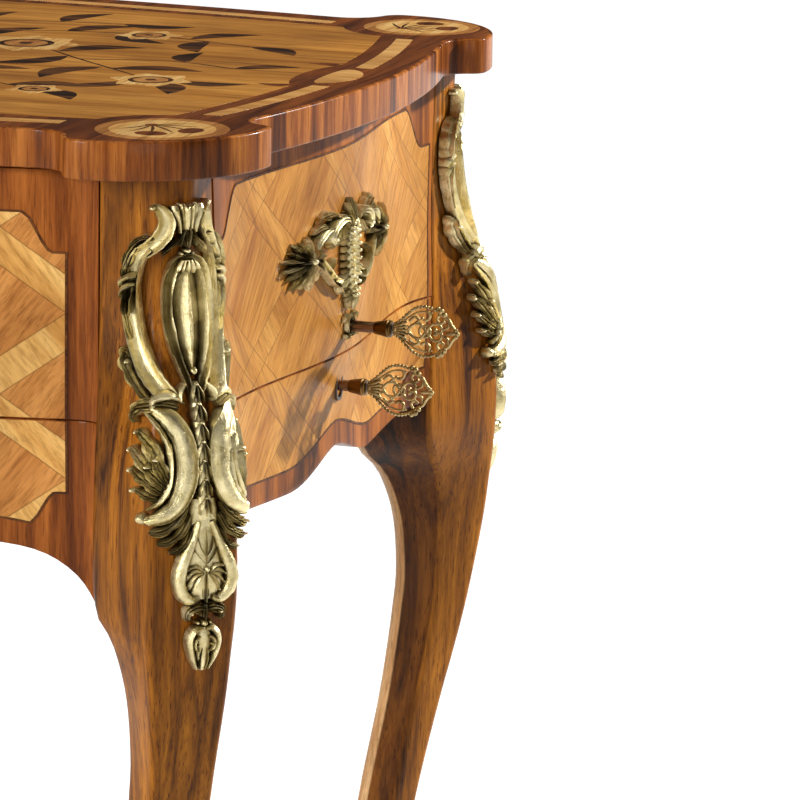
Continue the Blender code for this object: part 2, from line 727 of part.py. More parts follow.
def top_rack(name, sign):
    """A rack under the top, with a web and a tongue that runs in the guide beside it."""
    start = -TRAVEL - RACK_OVERRUN
    end = RACK_OVERRUN
    web_top = UNDER_TOP - FIT - GLIDE
    tongue_top = UNDER_TOP - FIT - TONGUE_DROP
    tongue_low = tongue_top - TONGUE_HEIGHT
    profile = [
        (sign * GEAR_END_X, web_top),
        (sign * GEAR_END_X, tongue_low),
        (sign * (GUIDE_X + TONGUE_REACH), tongue_low),
        (sign * (GUIDE_X + TONGUE_REACH), tongue_top),
        (sign * WEB_X, tongue_top),
        (sign * WEB_X, web_top),
    ]
    web = plate_mesh(name, [profile], end - start - 2 * GLIDE, ACROSS_Y)
    web.transform(Matrix.Translation((0, (start + end) / 2, 0)))
    rack = piece(name, web, "brass", top_axis)
    overlap = WEB_THICK / 2
    teeth = plate_mesh(name, [rack_outline(start, end, False)], GEAR_WIDTH + overlap, ACROSS_X)
    middle = sign * (GEAR_X + GEAR_END_X + overlap) / 2
    boolean(rack, helper(f"{name} teeth", teeth, (middle, 0, TOP_RACK_Z)), "UNION", "MANIFOLD")


def top_guide(name, sign):
    """A grooved rail on the side wall, between the posts, which holds the top down as it slides."""
    high = UNDER_TOP - GUIDE_TOP_GAP
    low = high - GUIDE_HEIGHT
    groove_top = UNDER_TOP - TONGUE_DROP
    groove_low = groove_top - TONGUE_HEIGHT - 2 * FIT
    groove_x = GUIDE_X + TONGUE_REACH + GLIDE
    wall_x = PANEL_X - FIT
    profile = [(GUIDE_X, low), (wall_x, low), (wall_x, high), (GUIDE_X, high)]
    profile += [(GUIDE_X, groove_top), (groove_x, groove_top), (groove_x, groove_low), (GUIDE_X, groove_low)]
    outline = [(sign * x, z) for x, z in profile]
    length = 2 * (CORNER_Y - leg_at(low)[4] - FIT)
    piece(name, plate_mesh(name, [outline], length, ACROSS_Y), "walnut", desk)


# Gear train


def drive_shaft():
    start = -PANEL_X + GLIDE
    end = CORNER_X + side_bulge(0, SHAFT_Z) - GLIDE
    spans = [(start, PANEL_X - FIT, SHAFT_RADIUS), (PANEL_X - FIT, end, SHAFT_NOSE_RADIUS)]
    shaft = piece("drive_shaft", rod_mesh("drive_shaft", spans), "steel", crank_axis, (0, 0, SHAFT_Z), 40)
    width = GEAR_END_X - GLIDE - DRAWER_SIDE_X
    for side, sign in SIDES:
        teeth = plate_mesh(f"{side} pinion", [gear_outline(PINION_TEETH, math.pi / 2)], width, ACROSS_X)
        middle = sign * (DRAWER_SIDE_X + width / 2)
        boolean(shaft, helper(f"{side} pinion", teeth, (middle, 0, SHAFT_Z)), "UNION")
    half = KEY_SQUARE / 2 + KEY_STEM_EASE
    low = (end - KEY_SOCKET_DEPTH, -half, SHAFT_Z - half)
    high = (end + GLIDE, half, SHAFT_Z + half)
    boolean(shaft, helper("key socket", box_mesh("key socket", low, high)))


def shaft_bearing(name, sign):
    low = (PANEL_X - FIT - BEARING_LENGTH, -BEARING_HALF_WIDTH, DUST_TOP_Z + FIT)
    high = (PANEL_X - FIT, BEARING_HALF_WIDTH, SHAFT_Z + BEARING_RISE)
    block = piece(name, sided_box(name, sign, low, high), "brass", desk)
    span = (sign * (low[0] - GLIDE), sign * (high[0] + GLIDE), SHAFT_RADIUS + FIT)
    bore = rod_mesh(f"{name} bore", [span])
    boolean(block, helper(f"{name} bore", bore, (0, 0, SHAFT_Z)))


def idler(name, sign):
    """An idler gear and the stub axle on the side wall that carries it."""
    width = GEAR_WIDTH - GLIDE
    phase = math.pi / 2 + math.pi / IDLER_TEETH
    middle = GEAR_X + width / 2
    hub = [(r * math.cos(a), r * math.sin(a)) for r, a in circle(AXLE_RADIUS + FIT, ROD_SIDES)]
    wheel = plate_mesh(f"idler_gear_{name}", [gear_outline(IDLER_TEETH, phase), hub], width, ACROSS_X)
    turning = axis(f"idler_{name}_turn", (sign * middle, 0, IDLER_Z), desk)
    piece(f"idler_gear_{name}", wheel, "brass", turning, (sign * middle, 0, IDLER_Z))
    spans = [
        (GEAR_X - FIT - AXLE_HEAD_LENGTH, GEAR_X - FIT, AXLE_HEAD),
        (GEAR_X - FIT, GEAR_X + width + FIT, AXLE_RADIUS),
        (GEAR_X + width + FIT, PANEL_X - FIT, AXLE_SHOULDER),
    ]
    spans = [(sign * start, sign * end, radius) for start, end, radius in spans]
    piece(f"idler_axle_{name}", rod_mesh("axle", spans), "steel", desk, (0, 0, IDLER_Z), 40)


def circle(radius, count):
    return [(radius, 2 * math.pi * i / count) for i in range(count)]


# Carcass


def carcass():
    split = level(SPLIT_Z + SHADOW_GAP)
    walls = (  # name, half width, lower edge, upper edge, surface, way it faces, columns, rows
        ("front_apron", front_half_width, front_low, LOWER_TOP_Z, front_bulge, "front", FRONT_COLUMNS, 4),
        ("back_panel", front_half_width, front_low, PANEL_TOP_Z, front_bulge, "back", FRONT_COLUMNS, 8),
        ("left_side_panel", side_half_width, side_low, PANEL_TOP_Z, side_bulge, "left", SIDE_COLUMNS, 8),
        ("right_side_panel", side_half_width, split, PANEL_TOP_Z, side_bulge, "right", SIDE_COLUMNS, 5),
    )
    for name, half_width, low, high, surface, facing, columns, rows in walls:
        mesh = wall_mesh(name, half_width, low, high, surface, -PANEL_BACK, columns, rows, FACING[facing])
        wall = piece(name, mesh, "banded_wood", desk, smooth=30)
        if facing == "right":
            spans = [(PANEL_X - GLIDE, CORNER_X + EDGE_BOW, SHAFT_NOSE_RADIUS + FIT)]
            boolean(wall, helper("crank keyhole", rod_mesh("crank keyhole", spans), (0, 0, SHAFT_Z)))


def dust_board():
    """The board between the drawers, notched round the posts, with a slot for the lock's bolt."""
    long_x = PANEL_X - FIT
    long_y = PANEL_Y - FIT
    short_x = CORNER_X - leg_at(DUST_LOW_Z)[3] - FIT
    short_y = CORNER_Y - leg_at(DUST_LOW_Z)[4] - FIT
    quarter = [(long_x, short_y), (short_x, short_y), (short_x, long_y)]
    half = quarter + [(-x, y) for x, y in quarter[::-1]]
    outline = half + [(x, -y) for x, y in half[::-1]]
    reach_x = BOLT_THICK / 2 + GLIDE
    reach_y = BOLT_WIDTH / 2 + GLIDE
    middle = BOLT_X + BOLT_THICK / 2
    corners = ((-1, -1), (1, -1), (1, 1), (-1, 1))
    slot = [(middle + x * reach_x, BOLT_OFFSET + y * reach_y) for x, y in corners]
    mesh = plate_mesh("dust_board", [outline, slot], DUST_THICK)
    piece("dust_board", mesh, "drawer_oak", desk, (0, 0, DUST_TOP_Z - DUST_THICK / 2))


def corner(name, sign_x, sign_y):
    """A leg with its sabot and its corner mount."""
    heights = leg_heights(SABOT_SOLE + FIT, UNDER_TOP - FIT)
    rings = [corner_ring(leg_section(z), z, sign_x, sign_y) for z in heights]
    piece(f"leg_{name}", loft_mesh(f"leg_{name}", rings), "walnut", desk, smooth=35)

    heights = leg_heights(0, SABOT_HEIGHT)
    rings = [corner_ring(leg_section(z, SABOT_WALL), z, sign_x, sign_y) for z in heights]
    sabot = piece(f"sabot_{name}", loft_mesh(f"sabot_{name}", rings), "gilt_bronze", desk, smooth=35)
    heights = leg_heights(SABOT_SOLE, SABOT_HEIGHT + SABOT_WALL)
    rings = [corner_ring(leg_section(z, SABOT_EASE), z, sign_x, sign_y) for z in heights]
    boolean(sabot, helper(f"{name} foot", loft_mesh(f"{name} foot", rings)))

    def facet(across, drop, out):
        z = HEIGHT - drop
        middle = leg_at(z)[0]
        u = middle + (out + across) / math.sqrt(2)
        v = middle + (out - across) / math.sqrt(2)
        return (sign_x * (CORNER_X + u), sign_y * (CORNER_Y + v), z)

    paths = [MOUNT_SPINE, MOUNT_COLLAR] + mirrored(MOUNT_SCROLLS)
    strap_work(f"corner_mount_{name}", "gilt_bronze", desk, paths, facet, MOUNT_DEPTH)


# Corner mount: rows of (across the facet, drop below the top's surface, half width)
MOUNT_SPINE = (
    (0, 0.034, 0.0060),
    (0, 0.046, 0.0045),
    (0, 0.056, 0.0030),
    (0, 0.068, 0.0070),
    (0, 0.084, 0.0090),
    (0, 0.102, 0.0075),
    (0, 0.116, 0.0030),
    (0, 0.128, 0.0060),
    (0, 0.140, 0.0035),
    (0, 0.152, 0.0058),
    (0, 0.164, 0.0032),
    (0, 0.176, 0.0052),
    (0, 0.190, 0.0045),
    (0, 0.202, 0.0115),
    (0, 0.213, 0.0135),
    (0, 0.223, 0.0095),
    (0, 0.231, 0.0045),
    (0, 0.240, 0.0070),
    (0, 0.250, 0.0085),
    (0, 0.258, 0.0055),
    (0, 0.2635, 0.0012),
)
MOUNT_COLLAR = (
    (-0.0115, 0.2315, 0.0022),
    (-0.004, 0.2325, 0.0034),
    (0.004, 0.2325, 0.0034),
    (0.0115, 0.2315, 0.0022),
)
MOUNT_SCROLLS = (
    ((0.002, 0.047, 0.0045), (0.010, 0.042, 0.0045), (0.016, 0.0345, 0.0016)),
    (
        (0.003, 0.049, 0.0030),
        (0.0145, 0.060, 0.0032),
        (0.0205, 0.076, 0.0036),
        (0.0210, 0.094, 0.0036),
        (0.0165, 0.112, 0.0040),
        (0.004, 0.128, 0.0045),
    ),
    ((0.017, 0.112, 0.0030), (0.0245, 0.103, 0.0036), (0.0285, 0.096, 0.0012)),
    ((0.008, 0.128, 0.0040), (0.021, 0.124, 0.0042), (0.0295, 0.117, 0.0014)),
    (
        (0.002, 0.130, 0.0045),
        (0.0150, 0.134, 0.0052),
        (0.0245, 0.145, 0.0052),
        (0.0265, 0.160, 0.0046),
        (0.0225, 0.176, 0.0046),
        (0.0135, 0.189, 0.0046),
        (0.003, 0.197, 0.0040),
    ),
    ((0.015, 0.187, 0.0038), (0.0235, 0.193, 0.0036), (0.0285, 0.187, 0.0014)),
)


# Escutcheon: rows of (along the wall, height above the crank's axis, half width)
ESCUTCHEON_STEM = (
    (0, 0.0730, 0.0020),
    (0, 0.0640, 0.0080),
    (0, 0.0520, 0.0060),
    (0, 0.0420, 0.0042),
    (0, 0.0300, 0.0062),
    (0, 0.0180, 0.0045),
    (0, 0.0070, 0.0055),
)
ESCUTCHEON_ARMS = (
    (
        (0.001, 0.044, 0.0040),
        (0.016, 0.056, 0.0042),
        (0.036, 0.0600, 0.0042),
        (0.054, 0.0530, 0.0042),
        (0.064, 0.0400, 0.0040),
    ),
    ((0.061, 0.047, 0.0045), (0.068, 0.036, 0.0125), (0.0725, 0.026, 0.0115), (0.075, 0.014, 0.0020)),
    ((0.001, 0.026, 0.0032), (0.014, 0.034, 0.0038), (0.026, 0.028, 0.0046), (0.025, 0.017, 0.0022)),
    ((0.036, 0.059, 0.0034), (0.045, 0.069, 0.0044), (0.055, 0.0705, 0.0016)),
)


def side_escutcheon():
    """Scrolls and leaves on the right wall, with a ring round the crank's keyhole at their foot."""

    def wall(along, up, out):
        z = SHAFT_Z + up
        return (CORNER_X + side_bulge(along, z) + out, along, z)

    ring = [(r * math.cos(a), r * math.sin(a)) for r, a in circle(KEYHOLE_RING_RADIUS, KEYHOLE_RING_STEPS)]
    halves = [ring[3:14], ring[11:] + ring[:6]]
    rings = [[(y, z, KEYHOLE_RING_HALF_WIDTH) for y, z in half] for half in halves]
    paths = [ESCUTCHEON_STEM] + rings + mirrored(ESCUTCHEON_ARMS)
    strap_work("side_escutcheon", "gilt_bronze", desk, paths, wall, ESCUTCHEON_DEPTH)


# Main drawer


def main_drawer():
    mesh = wall_mesh(
        "drawer_front",
        main_drawer_half_width,
        level(DRAWER_FRONT_LOW_Z),
        UNDER_TOP - DRAWER_TOP_GAP,
        front_bulge,
        -PANEL_BACK,
        FRONT_COLUMNS,
        5,
        FACING["front"],
    )
    piece("drawer_front", mesh, "banded_wood", drawer_axis, smooth=30)
    front_y = -PANEL_Y + FIT
    inner_back_y = DRAWER_BACK_Y - DRAWER_BACK_THICK - FIT
    inner_x = DRAWER_SIDE_X - FIT
    low = (-inner_x, DRAWER_BACK_Y - DRAWER_BACK_THICK, DRAWER_LOW_Z)
    back = box_mesh("drawer_back", low, (inner_x, DRAWER_BACK_Y, DRAWER_WALL_Z))
    piece("drawer_back", back, "drawer_oak", drawer_axis)
    low = (-inner_x, front_y, DRAWER_LOW_Z)
    bottom = box_mesh("drawer_bottom", low, (inner_x, inner_back_y, DRAWER_FLOOR_Z))
    piece("drawer_bottom", bottom, "drawer_oak", drawer_axis)
    for side, sign in SIDES:
        drawer_half(side, sign, front_y, inner_back_y)


def sided_box(name, sign, low, high):
    """A box given for the right half, or its mirror image on the left."""
    xs = sorted((sign * low[0], sign * high[0]))
    return box_mesh(name, (xs[0], *low[1:]), (xs[1], *high[1:]))


def drawer_half(side, sign, front_y, inner_back_y):
    """A side of the main drawer, with its runner and rack, and the compartment with its sliding lid."""
    outer_x = DRAWER_SIDE_X + DRAWER_SIDE_THICK
    runner_low = DRAWER_LOW_Z + RUNNER_RISE
    groove_x = outer_x - RUNNER_GROOVE
    name = f"drawer_side_{side}"
    low = (DRAWER_SIDE_X, front_y, DRAWER_LOW_Z)
    mesh = sided_box(name, sign, low, (outer_x, DRAWER_BACK_Y, DRAWER_WALL_Z))
    wall = piece(name, mesh, "drawer_oak", drawer_axis)
    low = (groove_x, front_y - GLIDE, runner_low - FIT)
    high = (outer_x + GLIDE, DRAWER_BACK_Y + GLIDE, runner_low + RUNNER_HEIGHT + FIT)
    boolean(wall, helper(f"{side} runner groove", sided_box("runner groove", sign, low, high)))
    post_x = CORNER_X - leg_at(runner_low)[3] - FIT
    low = (groove_x + FIT, -RUNNER_HALF_LENGTH, runner_low)
    high = (post_x, RUNNER_HALF_LENGTH, runner_low + RUNNER_HEIGHT)
    piece(f"drawer_runner_{side}", sided_box("runner", sign, low, high), "drawer_oak", desk)

    outline = rack_outline(-RACK_OVERRUN, TRAVEL + RACK_OVERRUN, True)
    rack = plate_mesh(f"drawer_rack_{side}", [outline], DRAWER_SIDE_THICK, ACROSS_X)
    place = (sign * (DRAWER_SIDE_X + DRAWER_SIDE_THICK / 2), 0, DRAWER_RACK_Z)
    piece(f"drawer_rack_{side}", rack, "brass", drawer_axis, place)

    half = PARTITION_THICK / 2
    name = f"drawer_partition_{side}"
    low = (PARTITION_X - half, front_y, DRAWER_FLOOR_Z + FIT)
    mesh = sided_box(name, sign, low, (PARTITION_X + half, inner_back_y, DRAWER_WALL_Z))
    partition = piece(name, mesh, "drawer_oak", drawer_axis)
    ledge_top = SLOPE_FACE_Z - SLOPE_THICK - FIT
    low = (PARTITION_X - half - LEDGE_WIDTH, SLOPE_FRONT_Y + LEDGE_SETBACK, ledge_top - LEDGE_HEIGHT)
    ledge = sided_box("ledge", sign, low, (PARTITION_X, SLOPE_FRONT_Y + SLOPE_DEPTH, ledge_top))
    boolean(partition, helper(f"{side} ledge", ledge), "UNION")
    spans = [(sign * (PARTITION_X - half - GLIDE), sign * (PARTITION_X + half / 2), SLOPE_PIN_RADIUS + FIT)]
    hole = rod_mesh("pin hole", spans, PIN_SIDES)
    boolean(partition, helper(f"{side} pin hole", hole, (0, SLOPE_AXIS_Y, SLOPE_AXIS_Z)))

    low = (PARTITION_X + half - LID_GROOVE, front_y - GLIDE, LID_LOW_Z - FIT)
    high = (DRAWER_SIDE_X + LID_GROOVE, inner_back_y + GLIDE, LID_LOW_Z + LID_THICK + FIT)
    groove = helper(f"{side} lid groove", sided_box("lid groove", sign, low, high))
    boolean(partition, groove)
    boolean(wall, groove)
    low = (low[0] + FIT, front_y, LID_LOW_Z)
    high = (high[0] - FIT, front_y + LID_LENGTH, LID_LOW_Z + LID_THICK)
    sliding = axis(f"lid_{side}_slide", (sign * (low[0] + high[0]) / 2, front_y, LID_LOW_Z), drawer_axis)
    lid = piece(f"compartment_lid_{side}", sided_box("lid", sign, low, high), "banded_wood", sliding)
    inset = (high[0] - low[0]) / 3
    low = (low[0] + inset, front_y + LID_LIP_THICK, LID_LOW_Z + LID_THICK / 2)
    high = (high[0] - inset, front_y + 2 * LID_LIP_THICK, LID_LOW_Z + LID_THICK + LID_LIP_HEIGHT)
    boolean(lid, helper(f"{side} lid lip", sided_box("lid lip", sign, low, high)), "UNION")


def writing_slope():
    """The tilting board between the partitions, on two pins, with a leather face."""
    half = PARTITION_X - PARTITION_THICK / 2 - GLIDE
    low = (-half, SLOPE_FRONT_Y, SLOPE_FACE_Z - SLOPE_THICK)
    mesh = box_mesh("writing_slope", low, (half, SLOPE_FRONT_Y + SLOPE_DEPTH, SLOPE_FACE_Z))
    board = piece("writing_slope", mesh, "banded_wood", slope_axis)
    for side, sign in SIDES:
        reach = half + SLOPE_PIN_REACH - GLIDE
        spans = [(sign * (half - SLOPE_PIN_REACH), sign * reach, SLOPE_PIN_RADIUS)]
        pin = rod_mesh("pin", spans, PIN_SIDES)
        boolean(board, helper(f"{side} slope pin", pin, (0, SLOPE_AXIS_Y, SLOPE_AXIS_Z)), "UNION")
    low = (-half + LEATHER_BORDER, SLOPE_FRONT_Y + LEATHER_BORDER, SLOPE_FACE_Z + FIT)
    high_y = SLOPE_FRONT_Y + SLOPE_DEPTH - LEATHER_BORDER
    high = (half - LEATHER_BORDER, high_y, SLOPE_FACE_Z + FIT + LEATHER_THICK)
    piece("slope_leather", box_mesh("slope_leather", low, high), "leather", slope_axis)


# Side drawer, its rails and lock


def side_drawer():
    mesh = wall_mesh(
        "side_drawer_front",
        side_drawer_half_width,
        side_low,
        LOWER_TOP_Z,
        side_bulge,
        -PANEL_BACK,
        SIDE_COLUMNS,
        4,
        FACING["right"],
    )
    front = piece("side_drawer_front", mesh, "banded_wood", side_drawer_axis, smooth=30)
    spans = [(PANEL_X - GLIDE, CORNER_X + EDGE_BOW, KEY_STEM_RADIUS + KEY_STEM_EASE)]
    boolean(front, helper("lower keyhole", rod_mesh("lower keyhole", spans), (0, 0, DRAWER_KEY_Z)))
    keyhole_liner(front)

    back_x = SIDE_BOX_X - SIDE_DRAWER_LENGTH
    inner_y = SIDE_DRAWER_HALF_WIDTH - SIDE_DRAWER_WALL - FIT
    for side, sign in ENDS:
        ys = sorted((sign * SIDE_DRAWER_HALF_WIDTH, sign * (SIDE_DRAWER_HALF_WIDTH - SIDE_DRAWER_WALL)))
        name = f"side_drawer_wall_{side}"
        low = (back_x, ys[0], SIDE_DRAWER_LOW_Z)
        mesh = box_mesh(name, low, (SIDE_BOX_X, ys[1], SIDE_DRAWER_TOP_Z))
        piece(name, mesh, "drawer_oak", side_drawer_axis)
        side_drawer_rail(f"side_drawer_rail_{side}", sign, back_x)
    low = (back_x, -inner_y, SIDE_DRAWER_LOW_Z)
    mesh = box_mesh("side_drawer_back", low, (back_x + SIDE_DRAWER_WALL, inner_y, SIDE_DRAWER_TOP_Z))
    piece("side_drawer_back", mesh, "drawer_oak", side_drawer_axis)
    low = (back_x + SIDE_DRAWER_WALL + FIT, -inner_y, SIDE_DRAWER_LOW_Z)
    mesh = box_mesh("side_drawer_bottom", low, (SIDE_BOX_X, inner_y, SIDE_DRAWER_LOW_Z + SIDE_BOTTOM_THICK))
    piece("side_drawer_bottom", mesh, "drawer_oak", side_drawer_axis)


def side_drawer_rail(name, sign, back_x):
    """An L-shaped rail, hung from the dust board, which a wall of the side drawer slides on."""
    shelf_top = SIDE_DRAWER_LOW_Z - FIT
    shelf_low = shelf_top - RAIL_SHELF
    web_y = SIDE_DRAWER_HALF_WIDTH + GLIDE
    shelf_y = SIDE_DRAWER_HALF_WIDTH - RAIL_GRIP
    high = DUST_LOW_Z - FIT
    profile = [
        (sign * shelf_y, shelf_low),
        (sign * (web_y + RAIL_WEB), shelf_low),
        (sign * (web_y + RAIL_WEB), high),
        (sign * web_y, high),
        (sign * web_y, shelf_top),
        (sign * shelf_y, shelf_top),
    ]
    mesh = plate_mesh(name, [profile], SIDE_BOX_X - back_x, ACROSS_X)
    piece(name, mesh, "drawer_oak", desk, ((SIDE_BOX_X + back_x) / 2, 0, 0))


def stadium(half_width, half_height):
    """An upright outline with round ends, in Y and Z."""
    rise = half_height - half_width
    upper = arc((0, rise), half_width, 0, math.pi, 8)
    return upper + arc((0, -rise), half_width, math.pi, 2 * math.pi, 8)


def keyhole_liner(front):
    """A brass slot let into the side drawer's front round its key."""
    outer_x = CORNER_X + side_bulge(0, DRAWER_KEY_Z) + LINER_PROUD
    middle = outer_x - LINER_LENGTH / 2
    grown = stadium(LINER_HALF_WIDTH + FIT, LINER_HALF_HEIGHT + FIT)
    pocket = plate_mesh("liner pocket", [grown], 2 * LINER_LENGTH, ACROSS_X)
    boolean(front, helper("liner pocket", pocket, (outer_x - FIT, 0, DRAWER_KEY_Z)))
    outlines = [stadium(LINER_HALF_WIDTH, LINER_HALF_HEIGHT)]
    outlines.append(stadium(LINER_HALF_WIDTH - LINER_WALL + FIT, LINER_HALF_HEIGHT - LINER_WALL))
    mesh = plate_mesh("keyhole_liner", outlines, LINER_LENGTH, ACROSS_X)
    piece("keyhole_liner", mesh, "brass", side_drawer_axis, (middle, 0, DRAWER_KEY_Z))


def drawer_lock():
    """The lock behind the side drawer's front, with a bolt that rises into the dust board."""
    low = (LOCK_X, -LOCK_HALF_WIDTH, SIDE_DRAWER_TOP_Z - LOCK_HEIGHT)
    mesh = box_mesh("lock_case", low, (SIDE_BOX_X, LOCK_HALF_WIDTH, SIDE_DRAWER_TOP_Z))
    case = piece("lock_case", mesh, "steel", side_drawer_axis)
    spans = [(LOCK_X + GLIDE, SIDE_BOX_X + GLIDE, KEY_STEM_RADIUS + KEY_STEM_EASE)]
    boolean(case, helper("lock keyway", rod_mesh("lock keyway", spans), (0, 0, DRAWER_KEY_Z)))
    low = Vector((BOLT_X, BOLT_OFFSET - BOLT_WIDTH / 2, SIDE_DRAWER_TOP_Z - BOLT_HEIGHT))
    high = Vector((BOLT_X + BOLT_THICK, BOLT_OFFSET + BOLT_WIDTH / 2, SIDE_DRAWER_TOP_Z))
    ease = Vector((FIT, FIT, FIT))
    boolean(case, helper("bolt slot", box_mesh("bolt slot", low - ease, high + 2 * ease)))
    piece("lock_bolt", box_mesh("lock_bolt", low, high), "brass", bolt_axis)


# Keys


def bow_mesh(name):
    """A key's pierced bow, in a plane along its stem, from its neck at 0 to its end."""
    middle = BOW_LENGTH * BOW_MIDDLE
    half_length = BOW_LENGTH - middle
    neck = COLLAR_RADIUS * BOW_NECK
    outline = [(0, neck), (0, -neck)]
    for i in range(BOW_NECK_STEPS, BOW_STEPS - BOW_NECK_STEPS + 1):
        angle = -math.pi + 2 * math.pi * i / BOW_STEPS
        lobe = 1 - BOW_LOBE_DEPTH * (1 + math.cos(BOW_LOBES * angle)) / 2
        reach_x = half_length * lobe
        reach_z = BOW_HALF_HEIGHT * lobe
        outline.append((middle + reach_x * math.cos(angle), reach_z * math.sin(angle)))
    holes = []
    room_x = half_length - BOW_RIM
    room_z = BOW_HALF_HEIGHT - BOW_RIM
    for turn in BOW_HOLE_TURNS:
        away = math.radians(turn)
        hole_x = middle + BOW_HOLE_OUT * room_x * math.cos(away)
        hole_z = BOW_HOLE_OUT * room_z * math.sin(away)
        hole = []
        for _, angle in circle(1, BOW_HOLE_SIDES):
            along = hole_x + BOW_HOLE_REACH_X * room_x * math.cos(angle)
            hole.append((along, hole_z + BOW_HOLE_REACH_Z * room_z * math.sin(angle)))
        holes.append(hole)
    return plate_mesh(name, [outline] + holes, BOW_THICK, ACROSS_Y)


def crank_key():
    wall_x = CORNER_X + side_bulge(0, SHAFT_Z)
    bow_x = wall_x + CRANK_KEY_REACH
    collar_x = bow_x - COLLAR_LENGTH
    spans = [(wall_x, collar_x, KEY_STEM_RADIUS), (collar_x, bow_x, COLLAR_RADIUS)]
    mesh = rod_mesh("crank_key_stem", spans, KEY_SIDES)
    stem = piece("crank_key_stem", mesh, "steel", crank_axis, (0, 0, SHAFT_Z), 40)
    half = KEY_SQUARE / 2
    low = (wall_x - KEY_SOCKET_DEPTH + 2 * GLIDE, -half, SHAFT_Z - half)
    tip = box_mesh("key square", low, (wall_x + KEY_SQUARE, half, SHAFT_Z + half))
    boolean(stem, helper("key square", tip), "UNION")
    piece("crank_key_bow", bow_mesh("crank_key_bow"), "gilt_bronze", crank_axis, (bow_x + FIT, 0, SHAFT_Z))


def drawer_key():
    wall_x = CORNER_X + side_bulge(0, DRAWER_KEY_Z)
    bow_x = wall_x + DRAWER_KEY_REACH
    collar_x = bow_x - COLLAR_LENGTH
    spans = [(LOCK_X + 2 * GLIDE, collar_x, KEY_STEM_RADIUS), (collar_x, bow_x, COLLAR_RADIUS)]
    mesh = rod_mesh("drawer_key_stem", spans, KEY_SIDES)
    piece("drawer_key_stem", mesh, "steel", drawer_key_axis, (0, 0, DRAWER_KEY_Z), 40)
    mesh = bow_mesh("drawer_key_bow")
    piece("drawer_key_bow", mesh, "gilt_bronze", drawer_key_axis, (bow_x + FIT, 0, DRAWER_KEY_Z))


def centre_on_origin():
    """Moves the desk so that its whole box, with the keys on one side, stands centred on the origin."""
    graph = bpy.context.evaluated_depsgraph_get()
    shown = [obj.evaluated_get(graph) for obj in parts.objects if obj.type == "MESH"]
    reach = [(obj.matrix_world @ Vector(spot)).x for obj in shown for spot in obj.bound_box]
    desk.location.x = -(min(reach) + max(reach)) / 2


table_top()
drive_shaft()
for side_name, side_sign in SIDES:
    top_rack(f"top_rack_{side_name}", side_sign)
    top_guide(f"top_guide_{side_name}", side_sign)
    shaft_bearing(f"shaft_bearing_{side_name}", side_sign)
    idler(side_name, side_sign)
carcass()
dust_board()
main_drawer()
writing_slope()
side_drawer()
drawer_lock()
crank_key()
drawer_key()
side_escutcheon()
for side_name, side_sign in SIDES:
    for end_name, end_sign in ENDS:
        corner(f"{end_name}_{side_name}", side_sign, end_sign)
centre_on_origin()
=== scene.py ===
"""A mechanical writing desk: veneers, marquetry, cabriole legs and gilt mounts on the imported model."""

import bisect
import math

import bpy
from mathutils import Matrix, Vector


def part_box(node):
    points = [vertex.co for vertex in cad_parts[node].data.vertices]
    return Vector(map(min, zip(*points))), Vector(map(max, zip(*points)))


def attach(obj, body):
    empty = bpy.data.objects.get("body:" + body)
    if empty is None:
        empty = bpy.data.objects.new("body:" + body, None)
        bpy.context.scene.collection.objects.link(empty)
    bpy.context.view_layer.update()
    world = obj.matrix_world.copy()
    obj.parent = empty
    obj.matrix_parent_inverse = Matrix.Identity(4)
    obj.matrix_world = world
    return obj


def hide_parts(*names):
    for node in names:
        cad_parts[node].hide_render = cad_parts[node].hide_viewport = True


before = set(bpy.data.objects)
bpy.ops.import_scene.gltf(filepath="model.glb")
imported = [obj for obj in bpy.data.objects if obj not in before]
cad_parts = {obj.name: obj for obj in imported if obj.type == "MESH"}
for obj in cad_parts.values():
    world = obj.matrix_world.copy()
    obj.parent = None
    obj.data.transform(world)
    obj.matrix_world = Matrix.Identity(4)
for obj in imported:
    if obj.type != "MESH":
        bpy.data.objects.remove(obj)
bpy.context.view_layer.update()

# Sizes of the desk, in metres
top_low, top_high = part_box("table_top")
DESK_X = (top_low.x + top_high.x) / 2
HEIGHT = top_high.z
CORNER_X = 0.390  # from the desk's middle to the centre of a corner lobe
CORNER_Y = 0.1983
UNDER_TOP = top_low.z
VENEER = 0.0004  # the room on the top that the inlaid pieces take
BOARD_TOP = HEIGHT - VENEER
LOBE_RADIUS = 0.072
LOBE_INSET = 0.0254
EDGE_BOW = 0.047  # the middle of an edge, outside the line between two corners
SIDE_RETURN = (0.030, 0.009, 0.015)  # notch, rounded corner, hollow
FRONT_RETURN = (0.023, 0.012, 0.020)
BOW_ANGLE = math.radians(10)
BOW_STEPS = 14
HOLLOW_STEPS = 8
ROUND_STEPS = 6
SPLIT_Z = (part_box("right_side_panel")[0].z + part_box("side_drawer_front")[1].z) / 2
CRANK_Z = (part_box("crank_key_bow")[0].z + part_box("crank_key_bow")[1].z) / 2
APRON_Z = 0.574
PANEL_BACK = 0.004  # a wall's back, inside the line between two corners
SEAM = 0.0006  # between a wall and the leg beside it
REVEAL = 0.0012  # between a drawer's front and the leg beside it

